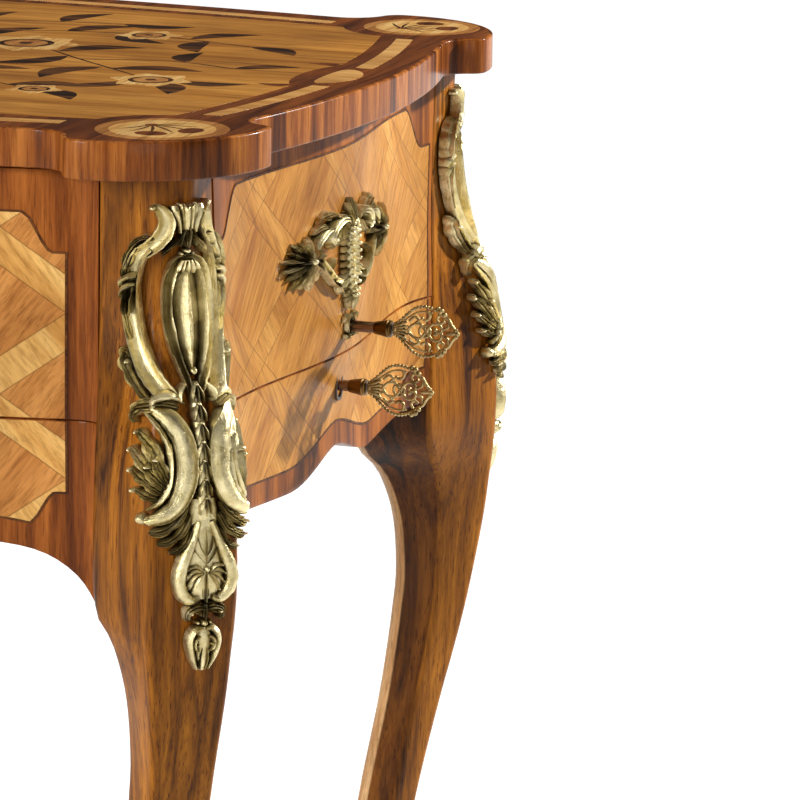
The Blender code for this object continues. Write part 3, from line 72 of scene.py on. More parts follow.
# Bulge of the walls, as (drop below the top, bulge), and the shape of the aprons
SIDE_MIDDLE = (
    (0.020, 0.024),
    (0.140, 0.027),
    (0.150, 0.0255),
    (0.165, 0.022),
    (0.182, 0.0205),
    (0.215, 0.022),
)
SIDE_VALLEY = ((0.020, 0.013), (0.142, 0.0145), (0.215, 0.013))
SIDE_VALLEY_Y = 0.130
FRONT_MIDDLE = (
    (0.020, 0.030),
    (0.140, 0.034),
    (0.150, 0.0325),
    (0.165, 0.029),
    (0.182, 0.0275),
    (0.215, 0.029),
)
FRONT_VALLEY = ((0.020, 0.009), (0.142, 0.010), (0.245, 0.009))
FRONT_VALLEY_X = 0.350
FRONT_LIP = 0.0027
APRON_SHOULDER = (0.310, 0.015, 0.026)  # half width, drop there, more drop at the ends
SIDE_ARCH = (0.065, 0.002, 0.0135, 1.6)  # half width, top below the front's, rise, power
SIDE_EAR = (0.009, 1.5)  # rise at the corner, power

# Leg rows: drop, facet middle, facet half width, side edge, depth behind the front, depth behind the side
LEG_UPPER = (
    (0.0200, 0.0130, 0.0060, 0.0167, 0.0267, 0.0250),
    (0.0350, 0.0125, 0.0060, 0.0167, 0.0267, 0.0260),
    (0.0710, 0.0110, 0.0065, 0.0170, 0.0267, 0.0290),
    (0.1050, 0.0150, 0.0080, 0.0180, 0.0268, 0.0325),
    (0.1400, 0.0230, 0.0120, 0.0200, 0.0272, 0.0350),
    (0.1650, 0.0265, 0.0150, 0.0212, 0.0277, 0.0380),
    (0.1860, 0.0280, 0.0160, 0.0220, 0.0280, 0.0415),
    (0.2080, 0.0287, 0.0165, 0.0222, 0.0283, 0.0432),
    (0.2190, 0.0286, 0.0165, 0.0222, 0.0283, 0.0440),
    (0.2300, 0.0283, 0.0165, 0.0220, 0.0280, 0.0410),
    (0.2440, 0.0276, 0.0162, 0.0216, 0.0258, 0.0300),
    (0.2560, 0.0268, 0.0157, 0.0209, 0.0185, 0.0210),
    (0.2820, 0.0250, 0.0145, 0.0195, 0.0118, 0.0140),
    (0.3150, 0.0215, 0.0125, 0.0172, 0.0102, 0.0110),
    (0.3400, 0.0180, 0.0115, 0.0155, 0.0120, 0.0120),
    (0.3660, 0.0135, 0.0105, 0.0120, 0.0145, 0.0145),
    (0.3950, 0.0080, 0.0097, 0.0070, 0.0180, 0.0180),
    (0.4450, -0.0005, 0.0087, -0.0010, 0.0255, 0.0255),
)
LEG_LOWER = (  # height above the floor first
    (0.270, -0.0080, 0.0080, -0.0090, 0.0320, 0.0320),
    (0.210, -0.0138, 0.0076, -0.0158, 0.0375, 0.0375),
    (0.160, -0.0160, 0.0075, -0.0185, 0.0400, 0.0400),
    (0.110, -0.0145, 0.0078, -0.0172, 0.0390, 0.0390),
    (0.065, -0.0085, 0.0086, -0.0120, 0.0355, 0.0355),
    (0.035, -0.0025, 0.0094, -0.0072, 0.0325, 0.0325),
    (0.015, 0.0022, 0.0100, -0.0040, 0.0305, 0.0305),
    (0.003, 0.0040, 0.0100, -0.0030, 0.0300, 0.0300),
)
LEG_ROWS = [(HEIGHT - drop, *rest) for drop, *rest in LEG_UPPER] + list(LEG_LOWER)
LEG_INNER_CHAMFER = 0.006
LEG_ROUND = 0.0035


# Finishes


def tone(red, green, blue):
    """A colour as a painter would mix it, 0 to 255, for the shader."""
    shares = [value / 255 for value in (red, green, blue)]
    linear = [share / 12.92 if share <= 0.04045 else ((share + 0.055) / 1.055) ** 2.4 for share in shares]
    return (*linear, 1.0)


class Finish:
    """One material with its nodes, and short ways to add them."""

    def __init__(self, name):
        self.made = bpy.data.materials.new(name)
        self.made.use_nodes = True
        self.tree = self.made.node_tree
        self.shader = self.tree.nodes["Principled BSDF"]
        self.where = self.add("ShaderNodeTexCoord").outputs["Object"]

    def add(self, kind, **settings):
        node = self.tree.nodes.new(kind)
        for name, value in settings.items():
            setattr(node, name, value)
        return node

    def join(self, out, into):
        self.tree.links.new(out, into)

    def set(self, **values):
        for name, value in values.items():
            self.shader.inputs[name.replace("_", " ")].default_value = value

    def space(self, scale, turn=(0, 0, 0)):
        node = self.add("ShaderNodeMapping", vector_type="TEXTURE")
        node.inputs["Scale"].default_value = [1 / share for share in scale]
        node.inputs["Rotation"].default_value = turn
        self.join(self.where, node.inputs["Vector"])
        return node.outputs["Vector"]

    def noise(self, space, scale=1.0, detail=4.0, rough=0.55, twist=0.0):
        node = self.add("ShaderNodeTexNoise")
        node.inputs["Scale"].default_value = scale
        node.inputs["Detail"].default_value = detail
        node.inputs["Roughness"].default_value = rough
        node.inputs["Distortion"].default_value = twist
        self.join(space, node.inputs["Vector"])
        return node.outputs["Fac"]

    def ramp(self, value, stops):
        node = self.add("ShaderNodeValToRGB")
        row = node.color_ramp.elements
        while len(row) < len(stops):
            row.new(0.5)
        for stop, (place, colour) in zip(row, stops):
            stop.position = place
            stop.color = colour
        self.join(value, node.inputs["Fac"])
        return node.outputs["Color"]

    def span(self, value, low, high, start=0.0, end=1.0):
        node = self.add("ShaderNodeMapRange")
        for socket, number in (("From Min", start), ("From Max", end), ("To Min", low), ("To Max", high)):
            node.inputs[socket].default_value = number
        self.join(value, node.inputs["Value"])
        return node.outputs["Result"]

    def blend(self, first, second, share, way="MIX"):
        node = self.add("ShaderNodeMix", data_type="RGBA", blend_type=way)
        for socket, value in ((0, share), (6, first), (7, second)):
            if isinstance(value, (int, float, tuple)):
                node.inputs[socket].default_value = value
            else:
                self.join(value, node.inputs[socket])
        return node.outputs[2]

    def sum(self, first, second, way="ADD"):
        node = self.add("ShaderNodeMath", operation=way)
        for socket, value in enumerate((first, second)):
            if isinstance(value, (int, float)):
                node.inputs[socket].default_value = value
            else:
                self.join(value, node.inputs[socket])
        return node.outputs["Value"]

    def relief(self, height, strength, distance):
        node = self.add("ShaderNodeBump")
        node.inputs["Strength"].default_value = strength
        node.inputs["Distance"].default_value = distance
        self.join(height, node.inputs["Height"])
        self.join(node.outputs["Normal"], self.shader.inputs["Normal"])

    def wear(self, marks, rough, shinier, duller):
        """A roughness that follows the marks, from shinier to duller than its middle."""
        spread = self.span(marks, rough - shinier, rough + duller, *NOISE_SUM)
        self.join(spread, self.shader.inputs["Roughness"])


WHITE = (1.0, 1.0, 1.0, 1.0)
NOISE_SUM = (0.7, 1.3)  # where the sum of two noises mostly lies
GRAIN_TURN = {"x": (0, 0, 0), "y": (0, 0, math.pi / 2), "z": (0, math.pi / 2, 0)}
PORES = (70, 1100, 1100)  # to the metre, along and across the grain


def grain(finish, turn, light, middle, dark, streak, pore):
    """Wood colour with growth streaks, fibres and pores along one direction: (colour, fibres, pores)."""
    broad = finish.space((streak * 0.06, streak, streak), turn)
    fine = finish.space((streak * 0.9, streak * 14, streak * 14), turn)
    pits = finish.space(PORES, turn)
    rings = finish.noise(broad, scale=1.5, detail=6.0, rough=0.6, twist=0.9)
    colour = finish.ramp(rings, ((0.34, dark), (0.48, middle), (0.64, light)))
    fibres = finish.noise(fine, detail=5.0, rough=0.65)
    shade = finish.ramp(fibres, ((0.30, (0.50, 0.42, 0.32, 1)), (0.56, WHITE)))
    colour = finish.blend(colour, shade, 0.75, "MULTIPLY")
    pores = finish.noise(pits, detail=2.0, rough=0.5)
    specks = finish.ramp(pores, ((0.30, (0.35, 0.28, 0.22, 1)), (0.42, WHITE)))
    colour = finish.blend(colour, specks, pore, "MULTIPLY")
    return colour, fibres, pores


def polish(finish, colour, fibres, pores, rough, coat, age):
    """French polish over wood, with a slow change of tone, wear in the gloss and open pores."""
    slow = finish.noise(finish.space((9, 9, 9)), detail=3.0, rough=0.5)
    aged = finish.ramp(slow, ((0.34, (0.56, 0.48, 0.38, 1)), (0.60, (1.10, 1.08, 1.04, 1))))
    colour = finish.blend(colour, aged, age, "MULTIPLY")
    finish.join(colour, finish.shader.inputs["Base Color"])
    handled = finish.noise(finish.space((26, 26, 26)), detail=4.0, rough=0.6)
    finish.wear(finish.sum(handled, fibres), rough, shinier=0.06, duller=0.14)
    finish.relief(finish.sum(fibres, pores), strength=0.12, distance=0.0004)
    finish.set(Coat_Weight=coat * 0.25, Coat_Roughness=0.12, Specular_IOR_Level=0.08)
    return finish.made


def wood(name, tones, along, streak, rough, coat, pore, age):
    finish = Finish(name)
    colour, fibres, pores = grain(finish, GRAIN_TURN[along], *tones, streak, pore)
    return polish(finish, colour, fibres, pores, rough, coat, age)


# Painted shade: faces that turn in towards the desk's middle take deeper tones, as if in shade.
PAINTED_SHADE_TURN = (-0.75, -0.55)  # how far a leg's face has to turn in: fully deep in tone, and not at all
# Painted light: the leg's inner corner takes pale tones, as if lit.
PAINTED_LIGHT_TURN = (-0.22, -0.10)


def leg_veneer(name, tones, deep_tones, leg_painted_light_tones):
    """Polished walnut on a leg, with painted shade on the faces turned in and painted light on its inner
    corner.
    """
    finish = Finish(name)
    turn = GRAIN_TURN["z"]
    colour, fibres, pores = grain(finish, turn, *tones, streak=52.0, pore=0.95)
    # Deeper tones for the painted shade on the inner faces
    deep, _, _ = grain(finish, turn, *deep_tones, streak=40.0, pore=0.95)
    # Pale tones for the painted light on the inner corner
    bare, _, _ = grain(finish, turn, *leg_painted_light_tones, streak=40.0, pore=0.4)
    spot = finish.add("ShaderNodeSeparateXYZ")
    finish.join(finish.where, spot.inputs["Vector"])
    facing = finish.add("ShaderNodeSeparateXYZ")
    finish.join(finish.add("ShaderNodeNewGeometry").outputs["Normal"], facing.inputs["Vector"])
    end = finish.sum(finish.sum(spot.outputs["X"], -DESK_X), 0.0, "SIGN")
    front = finish.sum(spot.outputs["Y"], 0.0, "SIGN")
    outward_x = finish.sum(facing.outputs["X"], end, "MULTIPLY")
    outward_y = finish.sum(facing.outputs["Y"], front, "MULTIPLY")
    inner = finish.span(finish.sum(outward_x, outward_y), 1.0, 0.0, *PAINTED_SHADE_TURN)
    corner = finish.span(finish.sum(outward_x, outward_y, "MAXIMUM"), 1.0, 0.0, *PAINTED_LIGHT_TURN)
    # Painted shade on the inner faces, then painted light on the inner corner
    colour = finish.blend(colour, deep, inner)
    colour = finish.blend(colour, bare, corner)
    return polish(finish, colour, fibres, pores, rough=0.33, coat=0.40, age=0.70)


TRELLIS_BAND = 0.226  # a pale band's share of the trellis
TRELLIS_HEIGHT = 0.084
TRELLIS_LEVEL = HEIGHT - 0.093  # where a lozenge has its end
TRELLIS_LEAN = math.radians(52)
JOINT = (0.002, 0.006)  # a dark joint's half width and its faded edge, as shares of the trellis


def lozenge_veneer(name, axis, tip, width, pale_tones, deep_tones):
    """Tan lozenges in a trellis of pale bands, the grain turned each way, with fine dark joints.

    A lozenge has its end at the tip along the axis, and the trellis repeats in the width.
    """
    finish = Finish(name)
    split = finish.add("ShaderNodeSeparateXYZ")
    finish.join(finish.where, split.inputs["Vector"])
    across = finish.sum(finish.sum(split.outputs[axis.upper()], -tip), 1 / width, "MULTIPLY")
    rise = finish.sum(finish.sum(split.outputs["Z"], -TRELLIS_LEVEL), 1 / TRELLIS_HEIGHT, "MULTIPLY")
    runs = (finish.sum(across, rise), finish.sum(across, rise, "SUBTRACT"))
    parts = [finish.sum(run, 0.0, "FRACT") for run in runs]
    inside = finish.sum(finish.sum(*parts, "MINIMUM"), TRELLIS_BAND, "GREATER_THAN")
    level_turn = GRAIN_TURN[axis][2]
    pale, fibres, pores = grain(finish, (0, TRELLIS_LEAN, level_turn), *pale_tones, streak=34.0, pore=0.35)
    deep, _, _ = grain(finish, (0, -TRELLIS_LEAN, level_turn), *deep_tones, streak=34.0, pore=0.45)
    colour = finish.blend(pale, deep, inside)
    for run, part in zip(runs, parts):
        edge = finish.sum(finish.sum(part, -TRELLIS_BAND), 0.0, "ABSOLUTE")
        near = finish.sum(edge, finish.sum(run, 0.5, "PINGPONG"), "MINIMUM")
        joint = finish.ramp(near, ((JOINT[0], tone(84, 48, 22)), (JOINT[1], WHITE)))
        colour = finish.blend(colour, joint, 0.55, "MULTIPLY")
    return polish(finish, colour, fibres, pores, rough=0.33, coat=0.35, age=0.65)


GILT_HOLLOW = 0.006  # how near a neighbour has to be, for the gilding to darken


def gilt(name, bright, worn, deep, rough):
    """Old gilding: bright on what is rubbed, brown in the hollows, with the marks of the chasing tool."""
    finish = Finish(name)
    hollow = finish.add("ShaderNodeAmbientOcclusion", samples=8, only_local=False)
    hollow.inputs["Distance"].default_value = GILT_HOLLOW
    patches = finish.noise(finish.space((120, 120, 120)), detail=4.0, rough=0.6)
    metal = finish.ramp(patches, ((0.32, worn), (0.64, bright)))
    depth = finish.ramp(hollow.outputs["AO"], ((0.18, deep), (0.62, WHITE)))
    colour = finish.blend(metal, depth, 0.9, "MULTIPLY")
    finish.join(colour, finish.shader.inputs["Base Color"])
    finish.set(Metallic=1.0)
    grit = finish.noise(finish.space((900, 900, 900)), detail=3.0, rough=0.6)
    finish.wear(finish.sum(patches, grit), rough, shinier=0.05, duller=0.20)
    finish.relief(finish.sum(grit, patches), strength=0.5, distance=0.0007)
    return finish.made


def metal(name, light, dark, rough, brush):
    """Worked metal for the mechanism: file marks one way, oil stains and worn gloss."""
    finish = Finish(name)
    stains = finish.noise(finish.space((40, 40, 40)), detail=5.0, rough=0.6)
    colour = finish.ramp(stains, ((0.30, dark), (0.62, light)))
    finish.join(colour, finish.shader.inputs["Base Color"])
    finish.set(Metallic=1.0)
    marks = finish.noise(finish.space(brush), detail=3.0, rough=0.6)
    finish.wear(finish.sum(marks, stains), rough, shinier=0.08, duller=0.18)
    finish.relief(marks, strength=0.15, distance=0.0003)
    return finish.made


PEBBLES = 620.0  # grains of the leather to the metre
TOOLED_LINES = ((0.008, 0.0007), (0.0105, 0.0003))  # inset from the leather's edge, half width


def desk_leather(name):
    """Brown writing leather with pebbled grain, rubbed pale in patches, and tooled gold lines."""
    finish = Finish(name)
    low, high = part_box("slope_leather")
    cells = finish.add("ShaderNodeTexVoronoi", feature="F1")
    cells.inputs["Scale"].default_value = PEBBLES
    finish.join(finish.where, cells.inputs["Vector"])
    rubbed = finish.noise(finish.space((14, 14, 14)), detail=4.0, rough=0.6)
    colour = finish.ramp(rubbed, ((0.30, tone(62, 30, 16)), (0.66, tone(112, 60, 32))))
    pebbles = finish.ramp(cells.outputs["Distance"], ((0.05, WHITE), (0.75, (0.55, 0.5, 0.46, 1))))
    colour = finish.blend(colour, pebbles, 0.8, "MULTIPLY")
    split = finish.add("ShaderNodeSeparateXYZ")
    finish.join(finish.where, split.inputs["Vector"])
    reach = []
    for axis, near, far in (("X", low.x, high.x), ("Y", low.y, high.y)):
        away = finish.sum(split.outputs[axis], -(near + far) / 2)
        reach.append(finish.sum(finish.sum(away, 0.0, "ABSOLUTE"), -(far - near) / 2))
    edge = finish.sum(reach[0], reach[1], "MAXIMUM")
    for inset, width in TOOLED_LINES:
        line = finish.sum(finish.sum(edge, inset), 0.0, "ABSOLUTE")
        gold = finish.span(line, 1.0, 0.0, width, width * 1.6)
        colour = finish.blend(colour, tone(206, 168, 88), gold)
    finish.join(colour, finish.shader.inputs["Base Color"])
    finish.join(finish.span(rubbed, 0.36, 0.58), finish.shader.inputs["Roughness"])
    finish.relief(cells.outputs["Distance"], strength=0.25, distance=0.0004)
    finish.set(Coat_Weight=0.1, Coat_Roughness=0.3)
    return finish.made


leg_tones = (tone(188, 119, 35), tone(144, 86, 20), tone(60, 30, 6))
# Pale tones of the painted light on a leg's inner corner
leg_painted_light_tones = (tone(250, 206, 152), tone(242, 192, 136), tone(218, 162, 106))
# Deeper tones of the painted shade on a leg's inner faces
leg_painted_shade_tones = (tone(140, 84, 26), tone(98, 55, 14), tone(34, 16, 3))
leg_walnut = leg_veneer("leg_walnut", leg_tones, leg_painted_shade_tones, leg_painted_light_tones)
edge_walnut = wood(
    "top_edge_walnut",
    (tone(196, 122, 54), tone(138, 74, 26), tone(70, 33, 9)),
    along="z", streak=38.0, rough=0.26, coat=0.55, pore=0.6, age=0.6,
)
band_side = wood(
    "side_crossbanding",
    (tone(178, 106, 38), tone(144, 80, 25), tone(96, 48, 13)),
    along="z", streak=44.0, rough=0.34, coat=0.35, pore=0.55, age=0.6,
)
band_front = wood(
    "front_crossbanding",
    (tone(184, 108, 44), tone(150, 82, 29), tone(98, 48, 14)),
    along="z", streak=44.0, rough=0.34, coat=0.35, pore=0.6, age=0.6,
)
border_walnut = wood(
    "top_border_walnut",
    (tone(136, 74, 29), tone(106, 54, 18), tone(72, 33, 10)),
    along="y", streak=60.0, rough=0.28, coat=0.45, pore=0.4, age=0.4,
)
field_satinwood = wood(
    "top_field_satinwood",
    (tone(204, 144, 66), tone(182, 122, 50), tone(150, 95, 35)),
    along="x", streak=26.0, rough=0.28, coat=0.40, pore=0.3, age=0.6,
)
strip_holly = wood(
    "inlaid_light_strip",
    (tone(222, 172, 104), tone(208, 154, 86), tone(184, 128, 64)),
    along="x", streak=40.0, rough=0.30, coat=0.40, pore=0.2, age=0.3,
)
leaf_rosewood = wood(
    "inlaid_dark_leaf",
    (tone(112, 68, 30), tone(56, 31, 12), tone(30, 16, 6)),
    along="x", streak=46.0, rough=0.30, coat=0.40, pore=0.3, age=0.3,
)
petal_maple = wood(
    "inlaid_light_petal",
    (tone(232, 190, 122), tone(220, 170, 98), tone(196, 142, 76)),
    along="y", streak=60.0, rough=0.30, coat=0.40, pore=0.2, age=0.3,
)
fan_cherry = wood(
    "inlaid_fan",
    (tone(196, 140, 78), tone(176, 118, 60), tone(150, 94, 44)),
    along="y", streak=60.0, rough=0.30, coat=0.40, pore=0.2, age=0.3,
)
string_ebony = wood(
    "dark_stringing",
    (tone(112, 68, 32), tone(90, 52, 23), tone(62, 33, 13)),
    along="x", streak=90.0, rough=0.36, coat=0.30, pore=0.3, age=0.3,
)
side_pale = (tone(214, 157, 81), tone(200, 141, 66), tone(174, 113, 46))
side_tan = (tone(212, 153, 77), tone(196, 136, 62), tone(168, 107, 43))
side_lozenges = lozenge_veneer(
    "side_lozenges", "y", tip=0.0426, width=0.110, pale_tones=side_pale, deep_tones=side_tan
)
front_pale = (tone(246, 200, 124), tone(236, 184, 106), tone(212, 154, 80))
front_tan = (tone(224, 160, 90), tone(208, 142, 74), tone(178, 112, 52))
front_lozenges = lozenge_veneer(
    "front_lozenges", "x", tip=DESK_X + 0.344, width=0.1192, pale_tones=front_pale, deep_tones=front_tan
)
oak_tones = (tone(206, 164, 104), tone(184, 138, 80), tone(146, 102, 54))
lining_oak = wood(
    "drawer_lining_oak",
    oak_tones,
    along="x", streak=30.0, rough=0.50, coat=0.05, pore=0.8, age=0.4,
)
lining_oak_deep = wood(
    "drawer_side_oak",
    oak_tones,
    along="y", streak=30.0, rough=0.50, coat=0.05, pore=0.8, age=0.4,
)
inner_walnut = wood(
    "inner_walnut",
    (tone(150, 92, 44), tone(120, 70, 31), tone(84, 46, 19)),
    along="y", streak=36.0, rough=0.42, coat=0.15, pore=0.6, age=0.5,
)
lid_satinwood = wood(
    "lid_satinwood",
    (tone(210, 154, 84), tone(190, 130, 64), tone(160, 104, 48)),
    along="x", streak=34.0, rough=0.30, coat=0.40, pore=0.3, age=0.5,
)
mount_gilt = gilt("mount_gilding", tone(226, 212, 166), tone(176, 160, 110), tone(98, 85, 48), rough=0.34)
sabot_gilt = gilt("sabot_gilding", tone(204, 176, 114), tone(148, 124, 72), tone(66, 52, 24), rough=0.40)
key_gilt = gilt("key_gilding", tone(190, 168, 116), tone(118, 96, 58), tone(44, 32, 14), rough=0.34)
lock_brass = metal("worked_brass", tone(206, 166, 88), tone(140, 102, 46), rough=0.34, brush=(300, 300, 30))
key_steel = metal("key_steel", tone(150, 128, 118), tone(84, 66, 60), rough=0.22, brush=(20, 400, 400))
lock_steel = metal("lock_steel", tone(126, 118, 110), tone(74, 66, 58), rough=0.38, brush=(300, 30, 300))
key_collar = metal("key_collar_bronze", tone(122, 92, 50), tone(64, 44, 20), rough=0.32, brush=(60, 300, 300))
leather = desk_leather("writing_leather")


# Ways of making pieces


def deselect():
    for obj in bpy.context.selected_objects:
        obj.select_set(False)


def edit(obj):
    """Only this object selected, in edit mode, with nothing in it selected."""
    deselect()
    bpy.context.view_layer.objects.active = obj
    obj.select_set(True)
    bpy.ops.object.mode_set(mode="EDIT")
    bpy.ops.mesh.select_all(action="DESELECT")


def leave():
    bpy.ops.object.mode_set(mode="OBJECT")


def apply(obj, kind, **settings):
    """Adds a modifier and applies it."""
    change = obj.modifiers.new(kind.lower(), kind)
    for name, value in settings.items():
        setattr(change, name, value)
    deselect()
    bpy.context.view_layer.objects.active = obj
    obj.select_set(True)
    bpy.ops.object.modifier_apply(modifier=change.name)


def outward(obj):
    edit(obj)
    bpy.ops.mesh.select_all(action="SELECT")
    bpy.ops.mesh.normals_make_consistent(inside=False)
    leave()


def smooth(obj, angle):
    deselect()
    bpy.context.view_layer.objects.active = obj
    obj.select_set(True)
    bpy.ops.object.shade_smooth_by_angle(angle=math.radians(angle))


def finish_piece(obj, name, material, body, nodes=()):
    obj.name = name
    obj.data.name = name
    obj.data.materials.clear()
    obj.data.materials.append(material)
    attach(obj, body)
    if nodes:
        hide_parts(*nodes)
    return obj


def sheet_of(outline, z, thick):
    """A flat plate from an outline: a filled circle whose points are set on it, then extruded down."""
    deselect()
    bpy.ops.mesh.primitive_circle_add(vertices=len(outline), radius=1.0, fill_type="NGON")
    plate = bpy.context.object
    for point, (x, y) in zip(plate.data.vertices, outline):
        point.co = (x, y, z)
    edit(plate)
    bpy.ops.mesh.select_all(action="SELECT")
    bpy.ops.mesh.extrude_region_move(TRANSFORM_OT_translate={"value": (0, 0, -thick)})
    leave()
    return plate


def joined(objects):
    deselect()
    for obj in objects:
        obj.select_set(True)
    bpy.context.view_layer.objects.active = objects[0]
    if len(objects) > 1:
        bpy.ops.object.join()
    outward(objects[0])
    return objects[0]


# Curves


def straight(rows, at):
    """Straight-line values at a place in rows of (place, value, ...)."""
    rows = sorted(rows)
    at = min(max(at, rows[0][0]), rows[-1][0])
    for low, high in zip(rows, rows[1:]):
        if at <= high[0]:
            share = (at - low[0]) / (high[0] - low[0])
            return [a + (b - a) * share for a, b in zip(low[1:], high[1:])]


def flowing(rows, steps):
    """A smooth run of rows through the given ones, with so many steps between each two."""
    run = []
    for i in range(len(rows) - 1):
        before = rows[max(i - 1, 0)]
        after = rows[min(i + 2, len(rows) - 1)]
        for k in range(steps):
            t = k / steps
            shares = (
                -t / 2 + t**2 - t**3 / 2,
                1 - 2.5 * t**2 + 1.5 * t**3,
                t / 2 + 2 * t**2 - 1.5 * t**3,
                (t**3 - t**2) / 2,
            )
            four = zip(before, rows[i], rows[i + 1], after)
            run.append([sum(s * v for s, v in zip(shares, values)) for values in four])
    run.append(list(rows[-1]))
    return run


def arc(centre, radius, start, end, steps):
    angles = [start + (end - start) * i / steps for i in range(steps + 1)]
    return [(centre[0] + radius * math.cos(a), centre[1] + radius * math.sin(a)) for a in angles]


def edge_run(half_length, sizes, inset):
    """From the middle of an edge to its lobe, as (along, outward), set in from the top's own edge."""
    notch, rounded, hollow = sizes
    lobe_out = LOBE_RADIUS - LOBE_INSET
    turn = math.acos((rounded + hollow * math.cos(BOW_ANGLE) - (lobe_out - notch)) / (rounded + hollow))
    lobe_along = half_length - LOBE_INSET
    kept = max(rounded - inset, 0.0005)
    first = math.pi / 2 + turn
    round_end = arc((lobe_along, lobe_out - rounded), kept, first, math.pi / 2, ROUND_STEPS)
    middle = (lobe_along + rounded * math.cos(first), lobe_out - rounded + rounded * math.sin(first))
    centre = (middle[0] - hollow * math.sin(turn), middle[1] + hollow * math.cos(turn))
    hollow_arc = arc(centre, hollow + inset, -math.pi / 2 - BOW_ANGLE, -math.pi / 2 + turn, HOLLOW_STEPS)
    start = hollow_arc[0]
    crown = EDGE_BOW - inset
    shares = [i / BOW_STEPS for i in range(BOW_STEPS)]
    bow = [(start[0] * share, crown + (start[1] - crown) * share**2) for share in shares]
    return bow + hollow_arc[:-1] + round_end[:-1]


def top_outline(inset=0.0):
    side = edge_run(CORNER_Y, SIDE_RETURN, inset)
    front = edge_run(CORNER_X, FRONT_RETURN, inset)
    quarter = [(CORNER_X + out, along) for along, out in side]
    quarter += arc((CORNER_X - LOBE_INSET, CORNER_Y - LOBE_INSET), LOBE_RADIUS - inset, 0, math.pi / 2, 18)
    quarter += [(along, CORNER_Y + out) for along, out in front[::-1]]
    left = [(-x, y) for x, y in quarter[::-1]]
    back_half = quarter + left[1:]
    front_half = [(x, -y) for x, y in back_half[::-1]]
    return [(x + DESK_X, y) for x, y in back_half + front_half[1:-1]]


LEG_TABLE = sorted(flowing(sorted(LEG_ROWS), 6))
LEG_LEVELS = [row[0] for row in LEG_TABLE]


def leg_at(z):
    """The leg's facet middle, facet half width, side edge, and depths behind front and side."""
    place = min(max(bisect.bisect(LEG_LEVELS, z), 1), len(LEG_TABLE) - 1)
    low, high = LEG_TABLE[place - 1 : place + 1]
    share = min(max((z - low[0]) / (high[0] - low[0]), 0.0), 1.0)
    return [a + (b - a) * share for a, b in zip(low[1:], high[1:])]


def side_half_width(z):
    return CORNER_Y - leg_at(z)[4] - SEAM


FRONT_HALF_WIDTH = CORNER_X - max(row[4] for row in LEG_UPPER) - SEAM


def side_bulge(y, z):
    drop = HEIGHT - z
    valley = straight(SIDE_VALLEY, drop)[0]
    middle = straight(SIDE_MIDDLE, drop)[0]
    beyond = abs(y) - SIDE_VALLEY_Y
    if beyond < 0:
        return valley + (middle - valley) * math.cos(math.pi / 2 * abs(y) / SIDE_VALLEY_Y) ** 2
    edge = leg_at(z)[2]
    return valley + (edge - valley) * (beyond / (side_half_width(z) - SIDE_VALLEY_Y)) ** 2


def front_bulge(x, z):
    drop = HEIGHT - z
    valley = straight(FRONT_VALLEY, drop)[0]
    middle = straight(FRONT_MIDDLE, drop)[0]
    share = abs(x) / FRONT_VALLEY_X
    if share < 1:
        return valley + (middle - valley) * (1 - share**4)
    return valley + FRONT_LIP * ((abs(x) - FRONT_VALLEY_X) / (FRONT_HALF_WIDTH - FRONT_VALLEY_X)) ** 2


def front_low(x):
    shoulder, drop, ear_drop = APRON_SHOULDER
    ear = max(0.0, (abs(x) - shoulder) / (FRONT_HALF_WIDTH - shoulder))
    return APRON_Z - drop * (x / shoulder) ** 2 - ear_drop * ear**3


def side_low(y):
    reach, drop, rise, power = SIDE_ARCH
    ear_rise, ear_power = SIDE_EAR
    arch = math.sin(math.pi / 2 * min(abs(y) / reach, 1.0)) ** power
    ear = max(0.0, abs(y) - reach) / (CORNER_Y - reach)
    return APRON_Z - drop - rise * arch + ear_rise * ear**ear_power


WALLS = {  # bulge, and a place from (along, outward, height)
    "right": (side_bulge, lambda along, out, z: (DESK_X + CORNER_X + out, along, z)),
    "left": (side_bulge, lambda along, out, z: (DESK_X - CORNER_X - out, along, z)),
    "front": (front_bulge, lambda along, out, z: (DESK_X + along, -CORNER_Y - out, z)),
    "back": (front_bulge, lambda along, out, z: (DESK_X + along, CORNER_Y + out, z)),
}


def wall_of(side, reach, low, high, columns, rows, proud=0.0, back=None):
    """A bulging wall or veneer: a grid bent to the wall, then extruded to its back.

    reach is the half width at a height; low and high give the edges along it.
    """
    bulge, place = WALLS[side]
    deselect()
    bpy.ops.mesh.primitive_grid_add(x_subdivisions=columns, y_subdivisions=rows, size=2.0)
    wall = bpy.context.object
    for point in wall.data.vertices:
        share = math.sin(math.pi / 2 * point.co.x)
        guess = share * reach(high(0))
        z = low(guess) + (high(guess) - low(guess)) * (point.co.y + 1) / 2
        along = share * reach(z)
        point.co = place(along, bulge(along, z) + proud, z)
    edit(wall)
    bpy.ops.mesh.select_all(action="SELECT")
    bpy.ops.mesh.extrude_region_move(TRANSFORM_OT_translate={"value": (0, 0, 0)})
    leave()
    for point in wall.data.vertices:
        if point.select:
            along = point.co.y if side in ("left", "right") else point.co.x - DESK_X
            behind = bulge(along, point.co.z) - VENEER if back is None else back
            point.co = place(along, behind, point.co.z)
    outward(wall)
    return wall


def strip_on(side, path, width, proud):
    """A line of stringing on a wall, along a path of (along, height)."""
    bulge, place = WALLS[side]
    deselect()
    bpy.ops.mesh.primitive_grid_add(x_subdivisions=len(path) - 1, y_subdivisions=1, size=2.0)
    line = bpy.context.object
    edges = []
    for i, spot in enumerate(path):
        before = Vector(path[max(i - 1, 0)])
        after = Vector(path[min(i + 1, len(path) - 1)])
        run = (after - before).normalized()
        away = Vector((-run.y, run.x)) * width / 2
        edges.append((Vector(spot) - away, Vector(spot) + away))
    count = len(path)
    for i, point in enumerate(line.data.vertices):
        along, z = edges[i % count][i // count]
        point.co = place(along, bulge(along, z) + proud, z)
    apply(line, "SOLIDIFY", thickness=VENEER / 2, offset=-1.0)
    outward(line)
    return line


